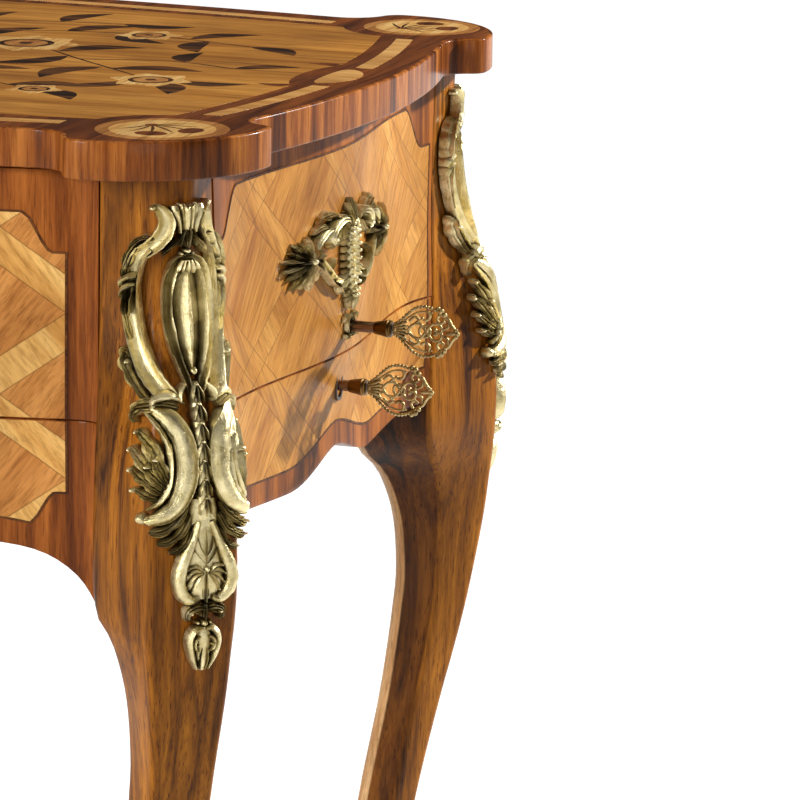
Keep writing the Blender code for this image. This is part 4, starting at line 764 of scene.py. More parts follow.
def drawn_up(rings):
    """A solid drawn up through rings of equally many points: a filled circle, extruded ring by ring."""
    deselect()
    bpy.ops.mesh.primitive_circle_add(vertices=len(rings[0]), radius=1.0, fill_type="NGON")
    solid = bpy.context.object
    order = {(round(p.co.x, 4), round(p.co.y, 4)): i for i, p in enumerate(solid.data.vertices)}
    edit(solid)
    bpy.ops.mesh.select_all(action="SELECT")
    for _ in rings[1:]:
        bpy.ops.mesh.extrude_region_move(TRANSFORM_OT_translate={"value": (0, 0, 1)})
    leave()
    for point in solid.data.vertices:
        number = order[(round(point.co.x, 4), round(point.co.y, 4))]
        point.co = rings[round(point.co.z)][number]
    outward(solid)
    return solid


ROD_SIDES = 32
SAME_SPOT = 1e-6


def turned(profile, centre_z):
    """A turned rod from rows of (place along X, radius): a line of points, screwed round its axis."""
    deselect()
    bpy.ops.mesh.primitive_grid_add(x_subdivisions=len(profile) - 1, y_subdivisions=1, size=2.0)
    rod = bpy.context.object
    edit(rod)
    bpy.ops.mesh.select_all(action="SELECT")
    bpy.ops.mesh.delete(type="ONLY_FACE")
    leave()
    count = len(profile)
    for i, point in enumerate(rod.data.vertices):
        x, radius = profile[i % count]
        point.co = (x, 0, radius)
    edit(rod)
    bpy.ops.mesh.select_all(action="SELECT")
    bpy.ops.mesh.remove_doubles(threshold=SAME_SPOT)
    leave()
    merge = {"use_merge_vertices": True, "merge_threshold": SAME_SPOT}
    apply(rod, "SCREW", axis="X", steps=ROD_SIDES, render_steps=ROD_SIDES, **merge)
    edit(rod)
    bpy.ops.mesh.select_all(action="SELECT")
    bpy.ops.mesh.remove_doubles(threshold=SAME_SPOT)
    bpy.ops.mesh.normals_make_consistent(inside=False)
    bpy.ops.transform.translate(value=(0, 0, centre_z))
    leave()
    return rod


# Cast ornament: ribbons, leaves and beads that follow a surface


def mirrored(half):
    """A ribbon's section from its first half, which ends in the middle."""
    return (*half, *((-share, rise) for share, rise in half[-2::-1]))


# Sections as (share of the half width, share of the height)
ROUND = mirrored(((-1, 0), (-0.9, 0.5), (-0.6, 0.85), (0, 1)))
HOLLOW = mirrored(
    ((-1, 0), (-0.99, 0.75), (-0.90, 1), (-0.78, 0.92), (-0.68, 0.62), (-0.36, 0.32), (0, 0.22))
)
LEAF = mirrored(((-1, 0), (-0.97, 0.3), (-0.78, 0.66), (-0.56, 0.5), (-0.34, 0.76), (-0.14, 0.6), (0, 1)))
BROAD = mirrored(((-1, 0), (-0.98, 0.6), (-0.88, 0.8), (-0.76, 0.68), (-0.66, 0.7), (-0.35, 0.92), (0, 1)))
REEDED = (
    (-1, 0),
    (-0.97, 0.45),
    (-0.82, 0.72),
    (-0.64, 0.5),
    (-0.46, 0.82),
    (-0.24, 0.9),
    (-0.1, 0.68),
    (0.08, 0.94),
    (0.32, 1),
    (0.5, 0.74),
    (0.7, 0.86),
    (0.9, 0.6),
    (1, 0),
)
KEEL = ((-1, 0), (-0.97, 0.14), (0.08, 1), (0.97, 0.14), (1, 0))
WIRE = tuple((math.cos(math.pi * i / 4), math.sin(math.pi * i / 4)) for i in range(8))
MM = 0.001
THINNEST = 0.05  # half width of a ribbon, in millimetres
LOBE_CUT = 0.3  # how far a ribbon narrows between two lobes, as a share
RIPPLE = 0.35  # how far its edge sinks there, as a share
BEAD_SIDES = 10
BEAD_LEVELS = (0, 0.5, 1.0, 1.35)  # turns up a bead's side, in radians


class Casting:
    """Collects closed ribbons and beads on one surface, in millimetres, and makes them one piece."""

    def __init__(self, place, stand=0.3):
        self.place = place
        self.stand = stand
        self.points = []
        self.faces = []

    def spot(self, across, up, out):
        self.points.append(self.place(across * MM, up * MM, (out + self.stand) * MM))
        return len(self.points) - 1

    def ribbon(self, rows, profile=ROUND, steps=5, lobes=0):
        """Rows of (across, up, half width, height). Lobes scallop its edges and ripple its face."""
        run = flowing(rows, steps)
        rings = []
        for i, (across, up, half, high) in enumerate(run):
            before = run[max(i - 1, 0)]
            after = run[min(i + 1, len(run) - 1)]
            along = Vector((after[0] - before[0], after[1] - before[1])).normalized()
            wave = abs(math.sin(math.pi * lobes * i / (len(run) - 1))) if lobes else 1.0
            width = max(half, THINNEST) * (1 - LOBE_CUT + LOBE_CUT * wave)
            ring = []
            for share, rise in profile:
                dip = 1 - RIPPLE * (1 - wave) * abs(share)
                aside = width * share
                ring.append(self.spot(across - along.y * aside, up + along.x * aside, rise * high * dip))
            rings.append(ring)
        self.close(rings)

    def close(self, rings):
        """Faces between rings of equally many points, and over both ends."""
        count = len(rings[0])
        for lower, upper in zip(rings, rings[1:]):
            for i in range(count):
                j = (i + 1) % count
                self.faces.append((lower[i], lower[j], upper[j], upper[i]))
        self.faces.append(rings[0][::-1])
        self.faces.append(rings[-1])

    def pair(self, rows, profile=ROUND, steps=5, lobes=0):
        self.ribbon(rows, profile, steps, lobes)
        self.ribbon([(-across, *rest) for across, *rest in rows], profile, steps, lobes)

    def bead(self, across, up, radius, high):
        rings = []
        for climb in BEAD_LEVELS:
            size = radius * math.cos(climb)
            rise = high * math.sin(climb)
            rings.append([self.spot(x, y, rise) for x, y in round_outline(across, up, size, BEAD_SIDES)])
        self.close(rings)

    def beads(self, across, up, radius, high):
        self.bead(across, up, radius, high)
        self.bead(-across, up, radius, high)

    def cast(self, name, material, body, nodes, angle=62):
        mesh = bpy.data.meshes.new(name)
        mesh.from_pydata(self.points, [], self.faces)
        obj = bpy.data.objects.new(name, mesh)
        bpy.context.scene.collection.objects.link(obj)
        outward(obj)
        smooth(obj, angle)
        return finish_piece(obj, name, material, body, nodes)


# Table top with its veneers


def at_desk(points):
    return [(x + DESK_X, y) for x, y in points]


BOARD_ROUND = 0.0012
BORDER_INSET = 0.0020
BORDER_RISE = 0.00006  # above the board, as the other rises of veneers
FIELD_RISE = 0.00014
CURL_RISE = 0.00015
STRIP_RISE = 0.00019


def table_top():
    """The sliding board with its border, field and inlays."""
    base = sheet_of(top_outline(), BOARD_TOP, BOARD_TOP - UNDER_TOP)
    outward(base)
    apply(base, "BEVEL", width=BOARD_ROUND, segments=4, limit_method="ANGLE", angle_limit=math.radians(50))
    smooth(base, 35)
    finish_piece(base, "top_board", edge_walnut, "top", ["table_top"])
    border = sheet_of(top_outline(BORDER_INSET), BOARD_TOP + BORDER_RISE, VENEER / 2)
    finish_piece(joined([border]), "top_border", border_walnut, "top")
    field = sheet_of(field_outline(), BOARD_TOP + FIELD_RISE, VENEER / 2)
    finish_piece(joined([field]), "top_field", field_satinwood, "top")
    inlay("top_border_curls", border_curls(), CURL_RISE, border_walnut)
    inlay("top_light_strips", light_strips(), STRIP_RISE, strip_holly)
    medallions()
    spray()


FIELD_INSET = 0.038
MEDALLION = 0.033
SCOOP = 0.0445  # radius round a corner medallion
SCOOP_ENDS = (0.95, 0.98)  # where it meets the front's and the side's edge, as shares


def bow_line(half_length, sizes, inset):
    """How far an edge line set in from the top's edge lies outside the corner line, at a place along it."""
    run = edge_run(half_length, sizes, 0.0)
    start = run[BOW_STEPS]

    def line(along):
        return EDGE_BOW + (start[1] - EDGE_BOW) * (along / start[0]) ** 2 - inset

    return line


def field_outline():
    """The golden field: edges parallel to the top's, scooped round the corner medallions."""
    front = bow_line(CORNER_X, FRONT_RETURN, FIELD_INSET)
    side = bow_line(CORNER_Y, SIDE_RETURN, FIELD_INSET)
    reach_x = CORNER_X - SCOOP * SCOOP_ENDS[0]
    reach_y = CORNER_Y - SCOOP * SCOOP_ENDS[1]
    first = math.atan2(reach_y - CORNER_Y, side(reach_y))
    last = math.atan2(front(reach_x), reach_x - CORNER_X) - 2 * math.pi
    if last <= -1.5 * math.pi:
        last += 2 * math.pi
    quarter = [(CORNER_X + side(reach_y * i / 12), reach_y * i / 12) for i in range(12)]
    quarter += arc((CORNER_X, CORNER_Y), SCOOP, first, last, 14)
    quarter += [(reach_x * i / 16, CORNER_Y + front(reach_x * i / 16)) for i in range(15, -1, -1)]
    left = [(-x, y) for x, y in quarter[::-1]]
    half = quarter + left[1:]
    return at_desk(half + [(x, -y) for x, y in half[::-1]][1:-1])


OVERLAPS = 11  # neighbours that may cross lie this many fine steps apart
OVERLAP_STEP = 0.000003


def inlay(name, outlines, rise, material):
    """Veneer pieces let into the top, all of one wood."""
    sheets = []
    for number, outline in enumerate(outlines):
        level = BOARD_TOP + rise + number % OVERLAPS * OVERLAP_STEP
        sheets.append(sheet_of(outline, level, VENEER / 2))
    return finish_piece(joined(sheets), name, material, "top")


def inlay_groups(groups):
    """Inlays from rows of (name, outlines round the desk's middle, rise, material)."""
    for name, outlines, rise, material in groups:
        inlay(name, [at_desk(outline) for outline in outlines], rise, material)


def strip_between(line, start, end, width, count=14):
    """A strip along an edge line, from start to end, as (along, outward)."""
    places = [start + (end - start) * i / count for i in range(count + 1)]
    outer = [(a, line(a)) for a in places]
    inner = [(a, line(a) - width) for a in places[::-1]]
    return outer + inner


STRIP_INSET = 0.0185
STRIP_WIDTH = 0.0095
FRONT_STRIP = (-0.337, 0.337)
SIDE_STRIPS = ((-0.148, -0.034), (0.034, 0.148))
KIDNEY = (0.026, 0.0095)  # half length, half width
KIDNEY_INSET = 0.006
KIDNEY_BEND = 5.5


def light_strips():
    """Light strips beside the field on each edge, and a kidney at the middle of each end."""
    front = bow_line(CORNER_X, FRONT_RETURN, STRIP_INSET)
    side = bow_line(CORNER_Y, SIDE_RETURN, STRIP_INSET)
    outlines = []
    kidney = oval_outline(0, 0, *KIDNEY)
    kidney = [(along, side(0) - KIDNEY_INSET + out - KIDNEY_BEND * along**2) for along, out in kidney]
    for sign in (-1, 1):
        run = strip_between(front, *FRONT_STRIP, STRIP_WIDTH, 30)
        outlines.append([(along, sign * (CORNER_Y + out)) for along, out in run])
        for start, end in SIDE_STRIPS:
            run = strip_between(side, start, end, STRIP_WIDTH)
            outlines.append([(sign * (CORNER_X + out), along) for along, out in run])
        outlines.append([(sign * (CORNER_X + out), along) for along, out in kidney])
    return [at_desk(outline) for outline in outlines]


SWELLING = (0.014, 0.040)  # half width, half length
SWELLING_OUT = 0.004
CURL = (0.022, 0.0085)  # length, width
CURL_PLACE = (0.002, 0.034)  # outside the field's edge, along it
CURL_LEAN = 14
CURL_BEND = 0.15


def border_curls():
    """The border's swelling round each kidney, with a curl at both of its ends."""
    outlines = []
    for sign in (-1, 1):
        middle = CORNER_X + EDGE_BOW - FIELD_INSET
        outlines.append(oval_outline(sign * (middle + SWELLING_OUT), 0.0, *SWELLING))
        for end in (-1, 1):
            turn = 90 + sign * (90 - end * CURL_LEAN)
            place = (sign * (middle + CURL_PLACE[0]), end * CURL_PLACE[1])
            outlines.append(leaf_outline(*place, *CURL, turn, -CURL_BEND * sign * end))
    return [at_desk(outline) for outline in outlines]


def round_outline(x, y, radius, count=36):
    return oval_outline(x, y, radius, radius, count)


def oval_outline(x, y, half_width, half_height, count=28):
    turns = [2 * math.pi * i / count for i in range(count)]
    return [(x + half_width * math.cos(turn), y + half_height * math.sin(turn)) for turn in turns]


LEAF_STEPS = 9


def leaf_outline(x, y, length, width, turn, bend):
    """A pointed leaf that starts at a place and runs one way, with a bend."""
    way = math.radians(turn)
    edges = ([], [])
    for i in range(LEAF_STEPS + 1):
        t = i / LEAF_STEPS
        half = width / 2 * math.sin(math.pi * t**0.85) ** 0.9
        sway = bend * length * math.sin(math.pi * t)
        for side, sign in zip(edges, (1, -1)):
            spot = Vector((length * t, sway + sign * half))
            spot.rotate(Matrix.Rotation(way, 2))
            side.append((x + spot.x, y + spot.y))
    return edges[0] + edges[1][-2:0:-1]


def stem_outline(path, width):
    """A thin stem along a smooth path."""
    run = flowing(path, 6)
    edges = ([], [])
    for i, spot in enumerate(run):
        before = Vector(run[max(i - 1, 0)])
        after = Vector(run[min(i + 1, len(run) - 1)])
        along = (after - before).normalized()
        for side, sign in zip(edges, (1, -1)):
            side.append((spot[0] - sign * along.y * width / 2, spot[1] + sign * along.x * width / 2))
    return edges[0] + edges[1][::-1]


MEDALLION_HEART = 0.80  # its share of the medallion's radius
FAN_ROOT = 0.009
FAN_TURNS = (-78, -52, -26, 0, 26, 52, 78)
RAY_LENGTHS = (0.020, 0.006)  # a ray's least length, and what the middle one has more
RAY_WIDTH = 0.0016
LOBE_PLACE = 0.0150
LOBE = (0.0082, 0.0062)
ROOT_RADIUS = 0.0034


def medallions():
    """A fan in a round medallion at each corner."""
    discs = []
    hearts = []
    rays = []
    lobes = []
    for sign_x in (-1, 1):
        for sign_y in (-1, 1):
            x = sign_x * CORNER_X
            y = sign_y * CORNER_Y
            discs.append(round_outline(x, y, MEDALLION))
            hearts.append(round_outline(x, y, MEDALLION * MEDALLION_HEART))
            root = (x - sign_x * FAN_ROOT, y - sign_y * FAN_ROOT)
            middle = math.degrees(math.atan2(sign_y, sign_x))
            for turn in FAN_TURNS:
                length = RAY_LENGTHS[0] + RAY_LENGTHS[1] * math.cos(math.radians(turn))
                rays.append(leaf_outline(*root, length, RAY_WIDTH, middle + turn, 0.04))
            lobes.append(oval_outline(x, y + sign_y * LOBE_PLACE, *LOBE))
            lobes.append(oval_outline(x + sign_x * LOBE_PLACE, y, *LOBE[::-1]))
            lobes.append(oval_outline(*root, ROOT_RADIUS, ROOT_RADIUS))
    groups = (
        ("medallion_rings", discs, 0.00018, fan_cherry),
        ("medallion_hearts", hearts, 0.00023, petal_maple),
        ("medallion_rays", rays, 0.00028, leaf_rosewood),
        ("medallion_lobes", lobes, 0.00028, border_walnut),
    )
    inlay_groups(groups)


SPRAY_STEMS = (  # on the right half of the field, from the desk's middle
    ((0.030, 0.020), (0.090, 0.062), (0.150, 0.066), (0.212, 0.048), (0.262, 0.004), (0.325, -0.051)),
    ((0.150, 0.066), (0.200, 0.098), (0.262, 0.104), (0.330, 0.084)),
    ((0.090, 0.062), (0.130, 0.110), (0.178, 0.132), (0.232, 0.140)),
    ((0.030, 0.020), (0.100, 0.000), (0.166, -0.028), (0.226, -0.074), (0.282, -0.104)),
    ((0.166, -0.028), (0.190, -0.070), (0.176, -0.116)),
    ((0.262, 0.004), (0.310, 0.016), (0.350, 0.004)),
    ((0.100, 0.000), (0.110, -0.050), (0.090, -0.104)),
)
SPRAY_LEAVES = (  # place of the stalk, length, width, direction, bend
    (0.100, 0.066, 0.050, 0.017, 118, 0.18),
    (0.128, 0.068, 0.046, 0.016, -52, -0.16),
    (0.176, 0.062, 0.052, 0.018, 64, 0.16),
    (0.240, 0.026, 0.050, 0.017, 38, 0.18),
    (0.252, 0.012, 0.052, 0.017, 232, 0.15),
    (0.284, -0.018, 0.050, 0.017, 252, -0.18),
    (0.290, -0.022, 0.050, 0.016, 10, 0.15),
    (0.330, -0.056, 0.042, 0.015, 300, 0.12),
    (0.336, -0.050, 0.042, 0.014, 8, -0.15),
    (0.318, -0.058, 0.044, 0.014, 222, 0.15),
    (0.214, 0.100, 0.046, 0.016, 48, 0.16),
    (0.246, 0.105, 0.046, 0.016, -38, -0.16),
    (0.288, 0.100, 0.044, 0.015, 44, 0.15),
    (0.330, 0.084, 0.040, 0.014, -34, 0.14),
    (0.300, 0.096, 0.044, 0.015, -76, -0.15),
    (0.150, 0.122, 0.042, 0.015, 80, 0.15),
    (0.196, 0.136, 0.044, 0.015, 70, 0.15),
    (0.232, 0.140, 0.042, 0.014, 6, -0.15),
    (0.130, -0.012, 0.048, 0.016, 34, 0.16),
    (0.150, -0.020, 0.046, 0.016, 196, 0.15),
    (0.208, -0.058, 0.048, 0.016, 22, 0.16),
    (0.232, -0.078, 0.046, 0.016, 262, -0.15),
    (0.262, -0.096, 0.044, 0.015, 18, 0.15),
    (0.282, -0.104, 0.040, 0.014, -40, 0.15),
    (0.188, -0.080, 0.044, 0.015, -30, 0.15),
    (0.182, -0.098, 0.044, 0.015, 208, -0.15),
    (0.350, 0.004, 0.036, 0.013, 30, 0.12),
    (0.318, 0.016, 0.038, 0.013, 96, 0.15),
    (0.108, -0.044, 0.044, 0.015, 214, 0.15),
    (0.104, -0.072, 0.042, 0.015, -30, -0.15),
    (0.090, -0.104, 0.038, 0.013, 250, 0.12),
)
SPRAY_FLOWERS = (  # place, radius, petals, first petal's direction
    (0.212, 0.048, 0.030, 8, 10),
    (0.325, -0.051, 0.023, 6, 0),
    (0.262, 0.104, 0.019, 6, 20),
    (0.176, -0.118, 0.021, 6, 12),
    (0.282, -0.104, 0.016, 5, 0),
    (0.130, 0.110, 0.017, 5, 30),
)
MIDDLE_FLOWER = (0.0, 0.0, 0.042, 10, 0)
STEM_WIDTH = 0.0017
PETAL_WIDTH = 0.78  # shares of a flower's radius, from here on
FLOWER_RING = 0.52
FLOWER_EYE = 0.40
FLOWER_HEART = 0.13


def both_halves(outlines):
    return outlines + [[(-x, -y) for x, y in outline] for outline in outlines]


def spray():
    """Leaves, stems and flowers in the field: one half, the same turned half round, and a middle bloom."""
    stems = [stem_outline(path, STEM_WIDTH) for path in SPRAY_STEMS]
    leaves = [leaf_outline(*row) for row in SPRAY_LEAVES]
    petals = []
    rings = []
    eyes = []
    hearts = []
    turned_round = [(-x, -y, radius, count, first + 180) for x, y, radius, count, first in SPRAY_FLOWERS]
    for x, y, radius, count, first in list(SPRAY_FLOWERS) + turned_round + [MIDDLE_FLOWER]:
        for i in range(count):
            turn = first + 360 * i / count
            petals.append(leaf_outline(x, y, radius, radius * PETAL_WIDTH, turn, 0.0))
        rings.append(round_outline(x, y, radius * FLOWER_RING, 24))
        eyes.append(round_outline(x, y, radius * FLOWER_EYE, 24))
        hearts.append(round_outline(x, y, radius * FLOWER_HEART, 14))
    groups = (
        ("field_stems", both_halves(stems), 0.00018, leaf_rosewood),
        ("field_leaves", both_halves(leaves), 0.00021, leaf_rosewood),
        ("field_petals", petals, 0.00024, petal_maple),
        ("field_flower_rings", rings, 0.00028, leaf_rosewood),
        ("field_flower_eyes", eyes, 0.00032, fan_cherry),
        ("field_flower_hearts", hearts, 0.00036, leaf_rosewood),
    )
    inlay_groups(groups)


# Walls: cross-banded panels with lozenge fields and stringing


def steady(value):
    """A line that keeps one value: a level edge, or a half width that is the same at every height."""
    return lambda place: value


def box_z(node):
    low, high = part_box(node)
    return low.z, high.z


def cusp(beyond, reach, fall):
    """How far a field's corner falls away, at a distance from its end."""
    share = min(max((reach - beyond) / (reach * 0.7), 0.0), 1.0)
    return fall * share * share * (3 - 2 * share)


FIELD_PROUD = 0.00030
STRING_PROUD = 0.00042
STRING_WIDTH = 0.0012


def field_on(side, reach, low, high, name, material, body, upper):
    """A lozenge field on a wall, and the dark stringing on its three free edges."""
    patch = wall_of(side, reach, low, high, columns=96, rows=26, proud=FIELD_PROUD)
    smooth(patch, 50)
    finish_piece(patch, name + "_field", material, body)
    shut, free = (low, high) if upper else (high, low)
    corner = reach(free(reach(free(0))))
    start = []
    for i in range(10):
        z = shut(corner) + (free(corner) - shut(corner)) * i / 10
        start.append((-reach(z), z))
    run = [corner * math.sin(math.pi / 2 * (i / 48 - 1)) for i in range(97)]
    path = start + [(along, free(along)) for along in run] + [(-along, z) for along, z in start[::-1]]
    line = strip_on(side, path, STRING_WIDTH, STRING_PROUD)
    finish_piece(line, name + "_stringing", string_ebony, body)


SIDE_FIELD_EDGE = 0.0042
FIELD_CORNER = 0.060  # below a section's head, where its field's ends are measured
SIDE_FIELD_END = side_half_width(HEIGHT - FIELD_CORNER) - SIDE_FIELD_EDGE
LOWER_FIELD_END = side_half_width(SPLIT_Z - FIELD_CORNER) - SIDE_FIELD_EDGE
SIDE_FIELD_DROP = 0.037
FRONT_FIELD_END = CORNER_X - 0.046
FRONT_FIELD_DROP = 0.043
FRONT_NOTCH = 0.019
FIELD_MARGIN = 0.013
FIELD_GAP = 0.0005  # between a field and the line where the sections part
SIDE_CUSP = (0.034, 0.024)  # reach of a field's fallen corner, and its fall
FRONT_CUSP = (0.022, 0.020)
SIDE_LOW_CUSP = (0.024, 0.008)
FRONT_LOW_CUSP = (FRONT_NOTCH, 0.016)


def side_field_high(along):
    return HEIGHT - SIDE_FIELD_DROP - cusp(SIDE_FIELD_END - abs(along), *SIDE_CUSP)


def side_field_reach(z):
    return side_half_width(z) - SIDE_FIELD_EDGE


def front_field_high(along):
    return HEIGHT - FRONT_FIELD_DROP - cusp(FRONT_FIELD_END - abs(along), *FRONT_CUSP)


def side_field_low(along):
    return side_low(along) + FIELD_MARGIN + cusp(LOWER_FIELD_END - abs(along), *SIDE_LOW_CUSP)


def front_field_low(along):
    kept = min(abs(along), FRONT_FIELD_END - FRONT_NOTCH)
    return front_low(kept) + FIELD_MARGIN + cusp(FRONT_FIELD_END - abs(along), *FRONT_LOW_CUSP)


WALL_ROUND = 0.0005


def walls():
    """The bulging walls and drawer fronts, then the lozenge fields on them."""
    upper_low, upper_high = box_z("right_side_panel")
    drawer_low, drawer_high = box_z("drawer_front")
    apron_high = box_z("front_apron")[1]
    lower_high = box_z("side_drawer_front")[1]
    drawer_half = (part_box("drawer_front")[1].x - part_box("drawer_front")[0].x) / 2

    def lower_half(z):
        return side_half_width(z) + SEAM - REVEAL

    drawer_reach = steady(drawer_half)
    front_reach = steady(FRONT_HALF_WIDTH)
    upper_ends = (steady(upper_low), steady(upper_high))
    drawer_ends = (steady(drawer_low), steady(drawer_high))
    panels = (
        ("front", drawer_reach, *drawer_ends, band_front, "main_drawer", "drawer_front"),
        ("front", front_reach, front_low, steady(apron_high), band_front, "frame", "front_apron"),
        ("back", front_reach, front_low, steady(upper_high), band_front, "frame", "back_panel"),
        ("left", side_half_width, side_low, steady(upper_high), band_side, "frame", "left_side_panel"),
        ("right", side_half_width, *upper_ends, band_side, "frame", "right_side_panel"),
        ("right", lower_half, side_low, steady(lower_high), band_side, "side_drawer", "side_drawer_front"),
    )
    for side, reach, low, high, material, body, node in panels:
        wall = wall_of(side, reach, low, high, columns=72, rows=24, back=-PANEL_BACK)
        apply(wall, "BEVEL", width=WALL_ROUND, segments=2, limit_method="ANGLE", angle_limit=math.radians(60))
        smooth(wall, 40)
        finish_piece(wall, node + "_banding", material, body, [node])

    field_reach = steady(FRONT_FIELD_END)
    drawer_foot = steady(drawer_low + FIELD_GAP)
    apron_head = steady(apron_high - FIELD_GAP)
    upper_foot = steady(upper_low + FIELD_GAP)
    lower_head = steady(lower_high - FIELD_GAP)
    front_fields = (  # name, side, lower edge, upper edge, body, whether the lower edge is the one left bare
        ("drawer_front", "front", drawer_foot, front_field_high, "main_drawer", True),
        ("apron", "front", front_field_low, apron_head, "frame", False),
        ("back", "back", front_field_low, front_field_high, "frame", True),
    )
    for name, side, low, high, body, upper in front_fields:
        field_on(side, field_reach, low, high, name, front_lozenges, body, upper)
    side_fields = (
        ("left_side", "left", side_field_low, side_field_high, "frame", True),
        ("right_side", "right", upper_foot, side_field_high, "frame", True),
        ("side_drawer_front", "right", side_field_low, lower_head, "side_drawer", False),
    )
    for name, side, low, high, body, upper in side_fields:
        field_on(side, side_field_reach, low, high, name, side_lozenges, body, upper)


# Legs and their gilt feet


def leg_ring(z, grown=0.0):
    """The leg's section at a height, from the corner's centre, with rounded corners."""
    middle, half, edge, behind_front, behind_side = leg_at(z)
    chamfer = LEG_INNER_CHAMFER
    corners = [
        (edge, -behind_side),
        (middle + half, middle - half),
        (middle - half, middle + half),
        (-behind_front, edge),
        (-behind_front, -behind_side + chamfer),
        (-behind_front + chamfer, -behind_side),
    ]
    ring = []
    for i, corner in enumerate(corners):
        here = Vector(corner)
        before = Vector(corners[i - 1]) - here
        after = Vector(corners[(i + 1) % len(corners)]) - here
        first = here + before * min(LEG_ROUND / before.length, 0.48)
        last = here + after * min(LEG_ROUND / after.length, 0.48)
        for k in range(6):
            t = k / 5
            ring.append(first * (1 - t) ** 2 + here * 2 * t * (1 - t) + last * t**2)
    if not grown:
        return ring
    wider = []
    for i, spot in enumerate(ring):
        along = ring[(i + 2) % len(ring)] - ring[i - 2]
        wider.append(spot + Vector((along.y, -along.x)).normalized() * grown)
    return wider


CORNERS = (("front_left", -1, -1), ("back_left", -1, 1), ("front_right", 1, -1), ("back_right", 1, 1))
LEG_STEPS = 110
LEG_FLOOR = 0.003
LEG_GAP = 0.0003  # under the sliding top
SABOT_ROWS = (  # height, and how far it stands out from the leg
    (0.0, 0.0020),
    (0.0012, 0.0036),
    (0.0050, 0.0042),
    (0.0085, 0.0036),
    (0.0105, 0.0022),
    (0.0130, 0.0030),
    (0.0150, 0.0022),
    (0.0220, 0.0018),
    (0.0360, 0.0016),
    (0.0440, 0.0017),
    (0.0455, 0.0026),
    (0.0475, 0.0029),
    (0.0495, 0.0024),
    (0.0505, 0.0004),
)


def on_corner(spots, sign_x, sign_y, z):
    return [(DESK_X + sign_x * (CORNER_X + u), sign_y * (CORNER_Y + v), z) for u, v in spots]


def legs():
    """Four cabriole legs, each with its gilt shoe and leaves."""
    top = UNDER_TOP - LEG_GAP
    for name, sign_x, sign_y in CORNERS:
        heights = [LEG_FLOOR + (top - LEG_FLOOR) * i / LEG_STEPS for i in range(LEG_STEPS + 1)]
        leg = drawn_up([on_corner(leg_ring(z), sign_x, sign_y, z) for z in heights])
        smooth(leg, 50)
        finish_piece(leg, f"leg_{name}_walnut", leg_walnut, "frame", [f"leg_{name}"])
        rings = []
        for z, grown in SABOT_ROWS:
            rings.append(on_corner(leg_ring(max(z, LEG_FLOOR), grown), sign_x, sign_y, z))
        shoe = drawn_up(rings)
        smooth(shoe, 50)
        finish_piece(shoe, f"sabot_{name}_shoe", sabot_gilt, "frame", [f"sabot_{name}"])
        sabot_leaves(f"sabot_{name}_leaves", sign_x, sign_y)


def outline_spot(corners, across):
    """A place on an outline of corner points, measured along it from the middle of its facet."""
    middle = (corners[1] + corners[2]) / 2
    steps = (corners[1], corners[0]) if across > 0 else (corners[2], corners[3])
    left = abs(across)
    here = middle
    for corner in steps:
        length = (corner - here).length
        if left <= length or corner is steps[-1]:
            return here + (corner - here) * (left / length)
        left -= length
        here = corner


WRAP = (-0.0060, -0.0036, -0.0012, 0.0012, 0.0036, 0.0060)  # the stretch that rounds a place off
WRAP_STEP = 0.0004
WRAP_OUT = 0.0006  # what the rounding takes off the corner, given back


def corner_place(sign_x, sign_y):
    """A place on a leg's outer corner from (across, height, out), with across measured round the corner."""

    def place(across, z, out):
        middle, half, edge, behind_front, behind_side = leg_at(z)
        corners = [
            Vector((edge, -behind_side)),
            Vector((middle + half, middle - half)),
            Vector((middle - half, middle + half)),
            Vector((-behind_front, edge)),
        ]
        before, after = (
            sum((outline_spot(corners, across + near + step) for near in WRAP), Vector((0, 0))) / len(WRAP)
            for step in (-WRAP_STEP, WRAP_STEP)
        )
        away = Vector((before.y - after.y, after.x - before.x)).normalized()
        spot = (before + after) / 2 + away * (out + WRAP_OUT)
        return (DESK_X + sign_x * (CORNER_X + spot.x), sign_y * (CORNER_Y + spot.y), z)

    return place


def sabot_leaves(name, sign_x, sign_y):
    """Acanthus on the foot: a leaf up the corner, two up each side, and a scrolled toe."""
    leaves = Casting(corner_place(sign_x, sign_y), stand=1.4)
    leaves.ribbon(
        [(0, 9, 5, 3.2), (0, 20, 7, 3.4), (0, 34, 7.5, 3.2), (0, 47, 5, 2.6), (0, 57.5, 0.8, 1)],
        LEAF, steps=7, lobes=4,
    )
    leaves.pair(
        [(15, 12, 3, 2.4), (17, 24, 5, 2.8), (18, 38, 5, 2.6), (18, 48, 3, 2), (18, 55, 0.6, 0.8)],
        LEAF, steps=6, lobes=3,
    )
    leaves.pair(
        [(9, 12, 2, 2.2), (10, 26, 2.6, 2.4), (10, 40, 2.2, 2), (9, 50, 0.6, 0.8)],
        LEAF, steps=6, lobes=3,
    )
    leaves.pair([(3, 6, 1.6, 3), (8, 8, 1.8, 3.4), (11, 5.5, 1.6, 3), (8.5, 3.5, 1.2, 2.6)], ROUND, steps=5)
    leaves.bead(0, 7, 4, 3.6)
    leaves.cast(name, sabot_gilt, "frame", ())


# Corner mounts, in millimetres: across the corner, drop below the top, half width, height


MOUNT_SHIFT = 0.0040  # the mount sits nearer the end of the desk than its front


def corner_mount(name, sign_x, sign_y):
    """One gilt casting on a leg, from the crown under the top to the bud at its foot."""
    on_leg = corner_place(sign_x, sign_y)

    def hung(across, drop, out):
        return on_leg(across + MOUNT_SHIFT, HEIGHT - drop, out)

    mount = Casting(hung)
    mount_crown(mount)
    mount_oval(mount)
    mount_scrolls(mount)
    mount_cartouche(mount)
    mount.cast(f"corner_mount_{name}_casting", mount_gilt, "frame", [f"corner_mount_{name}"])


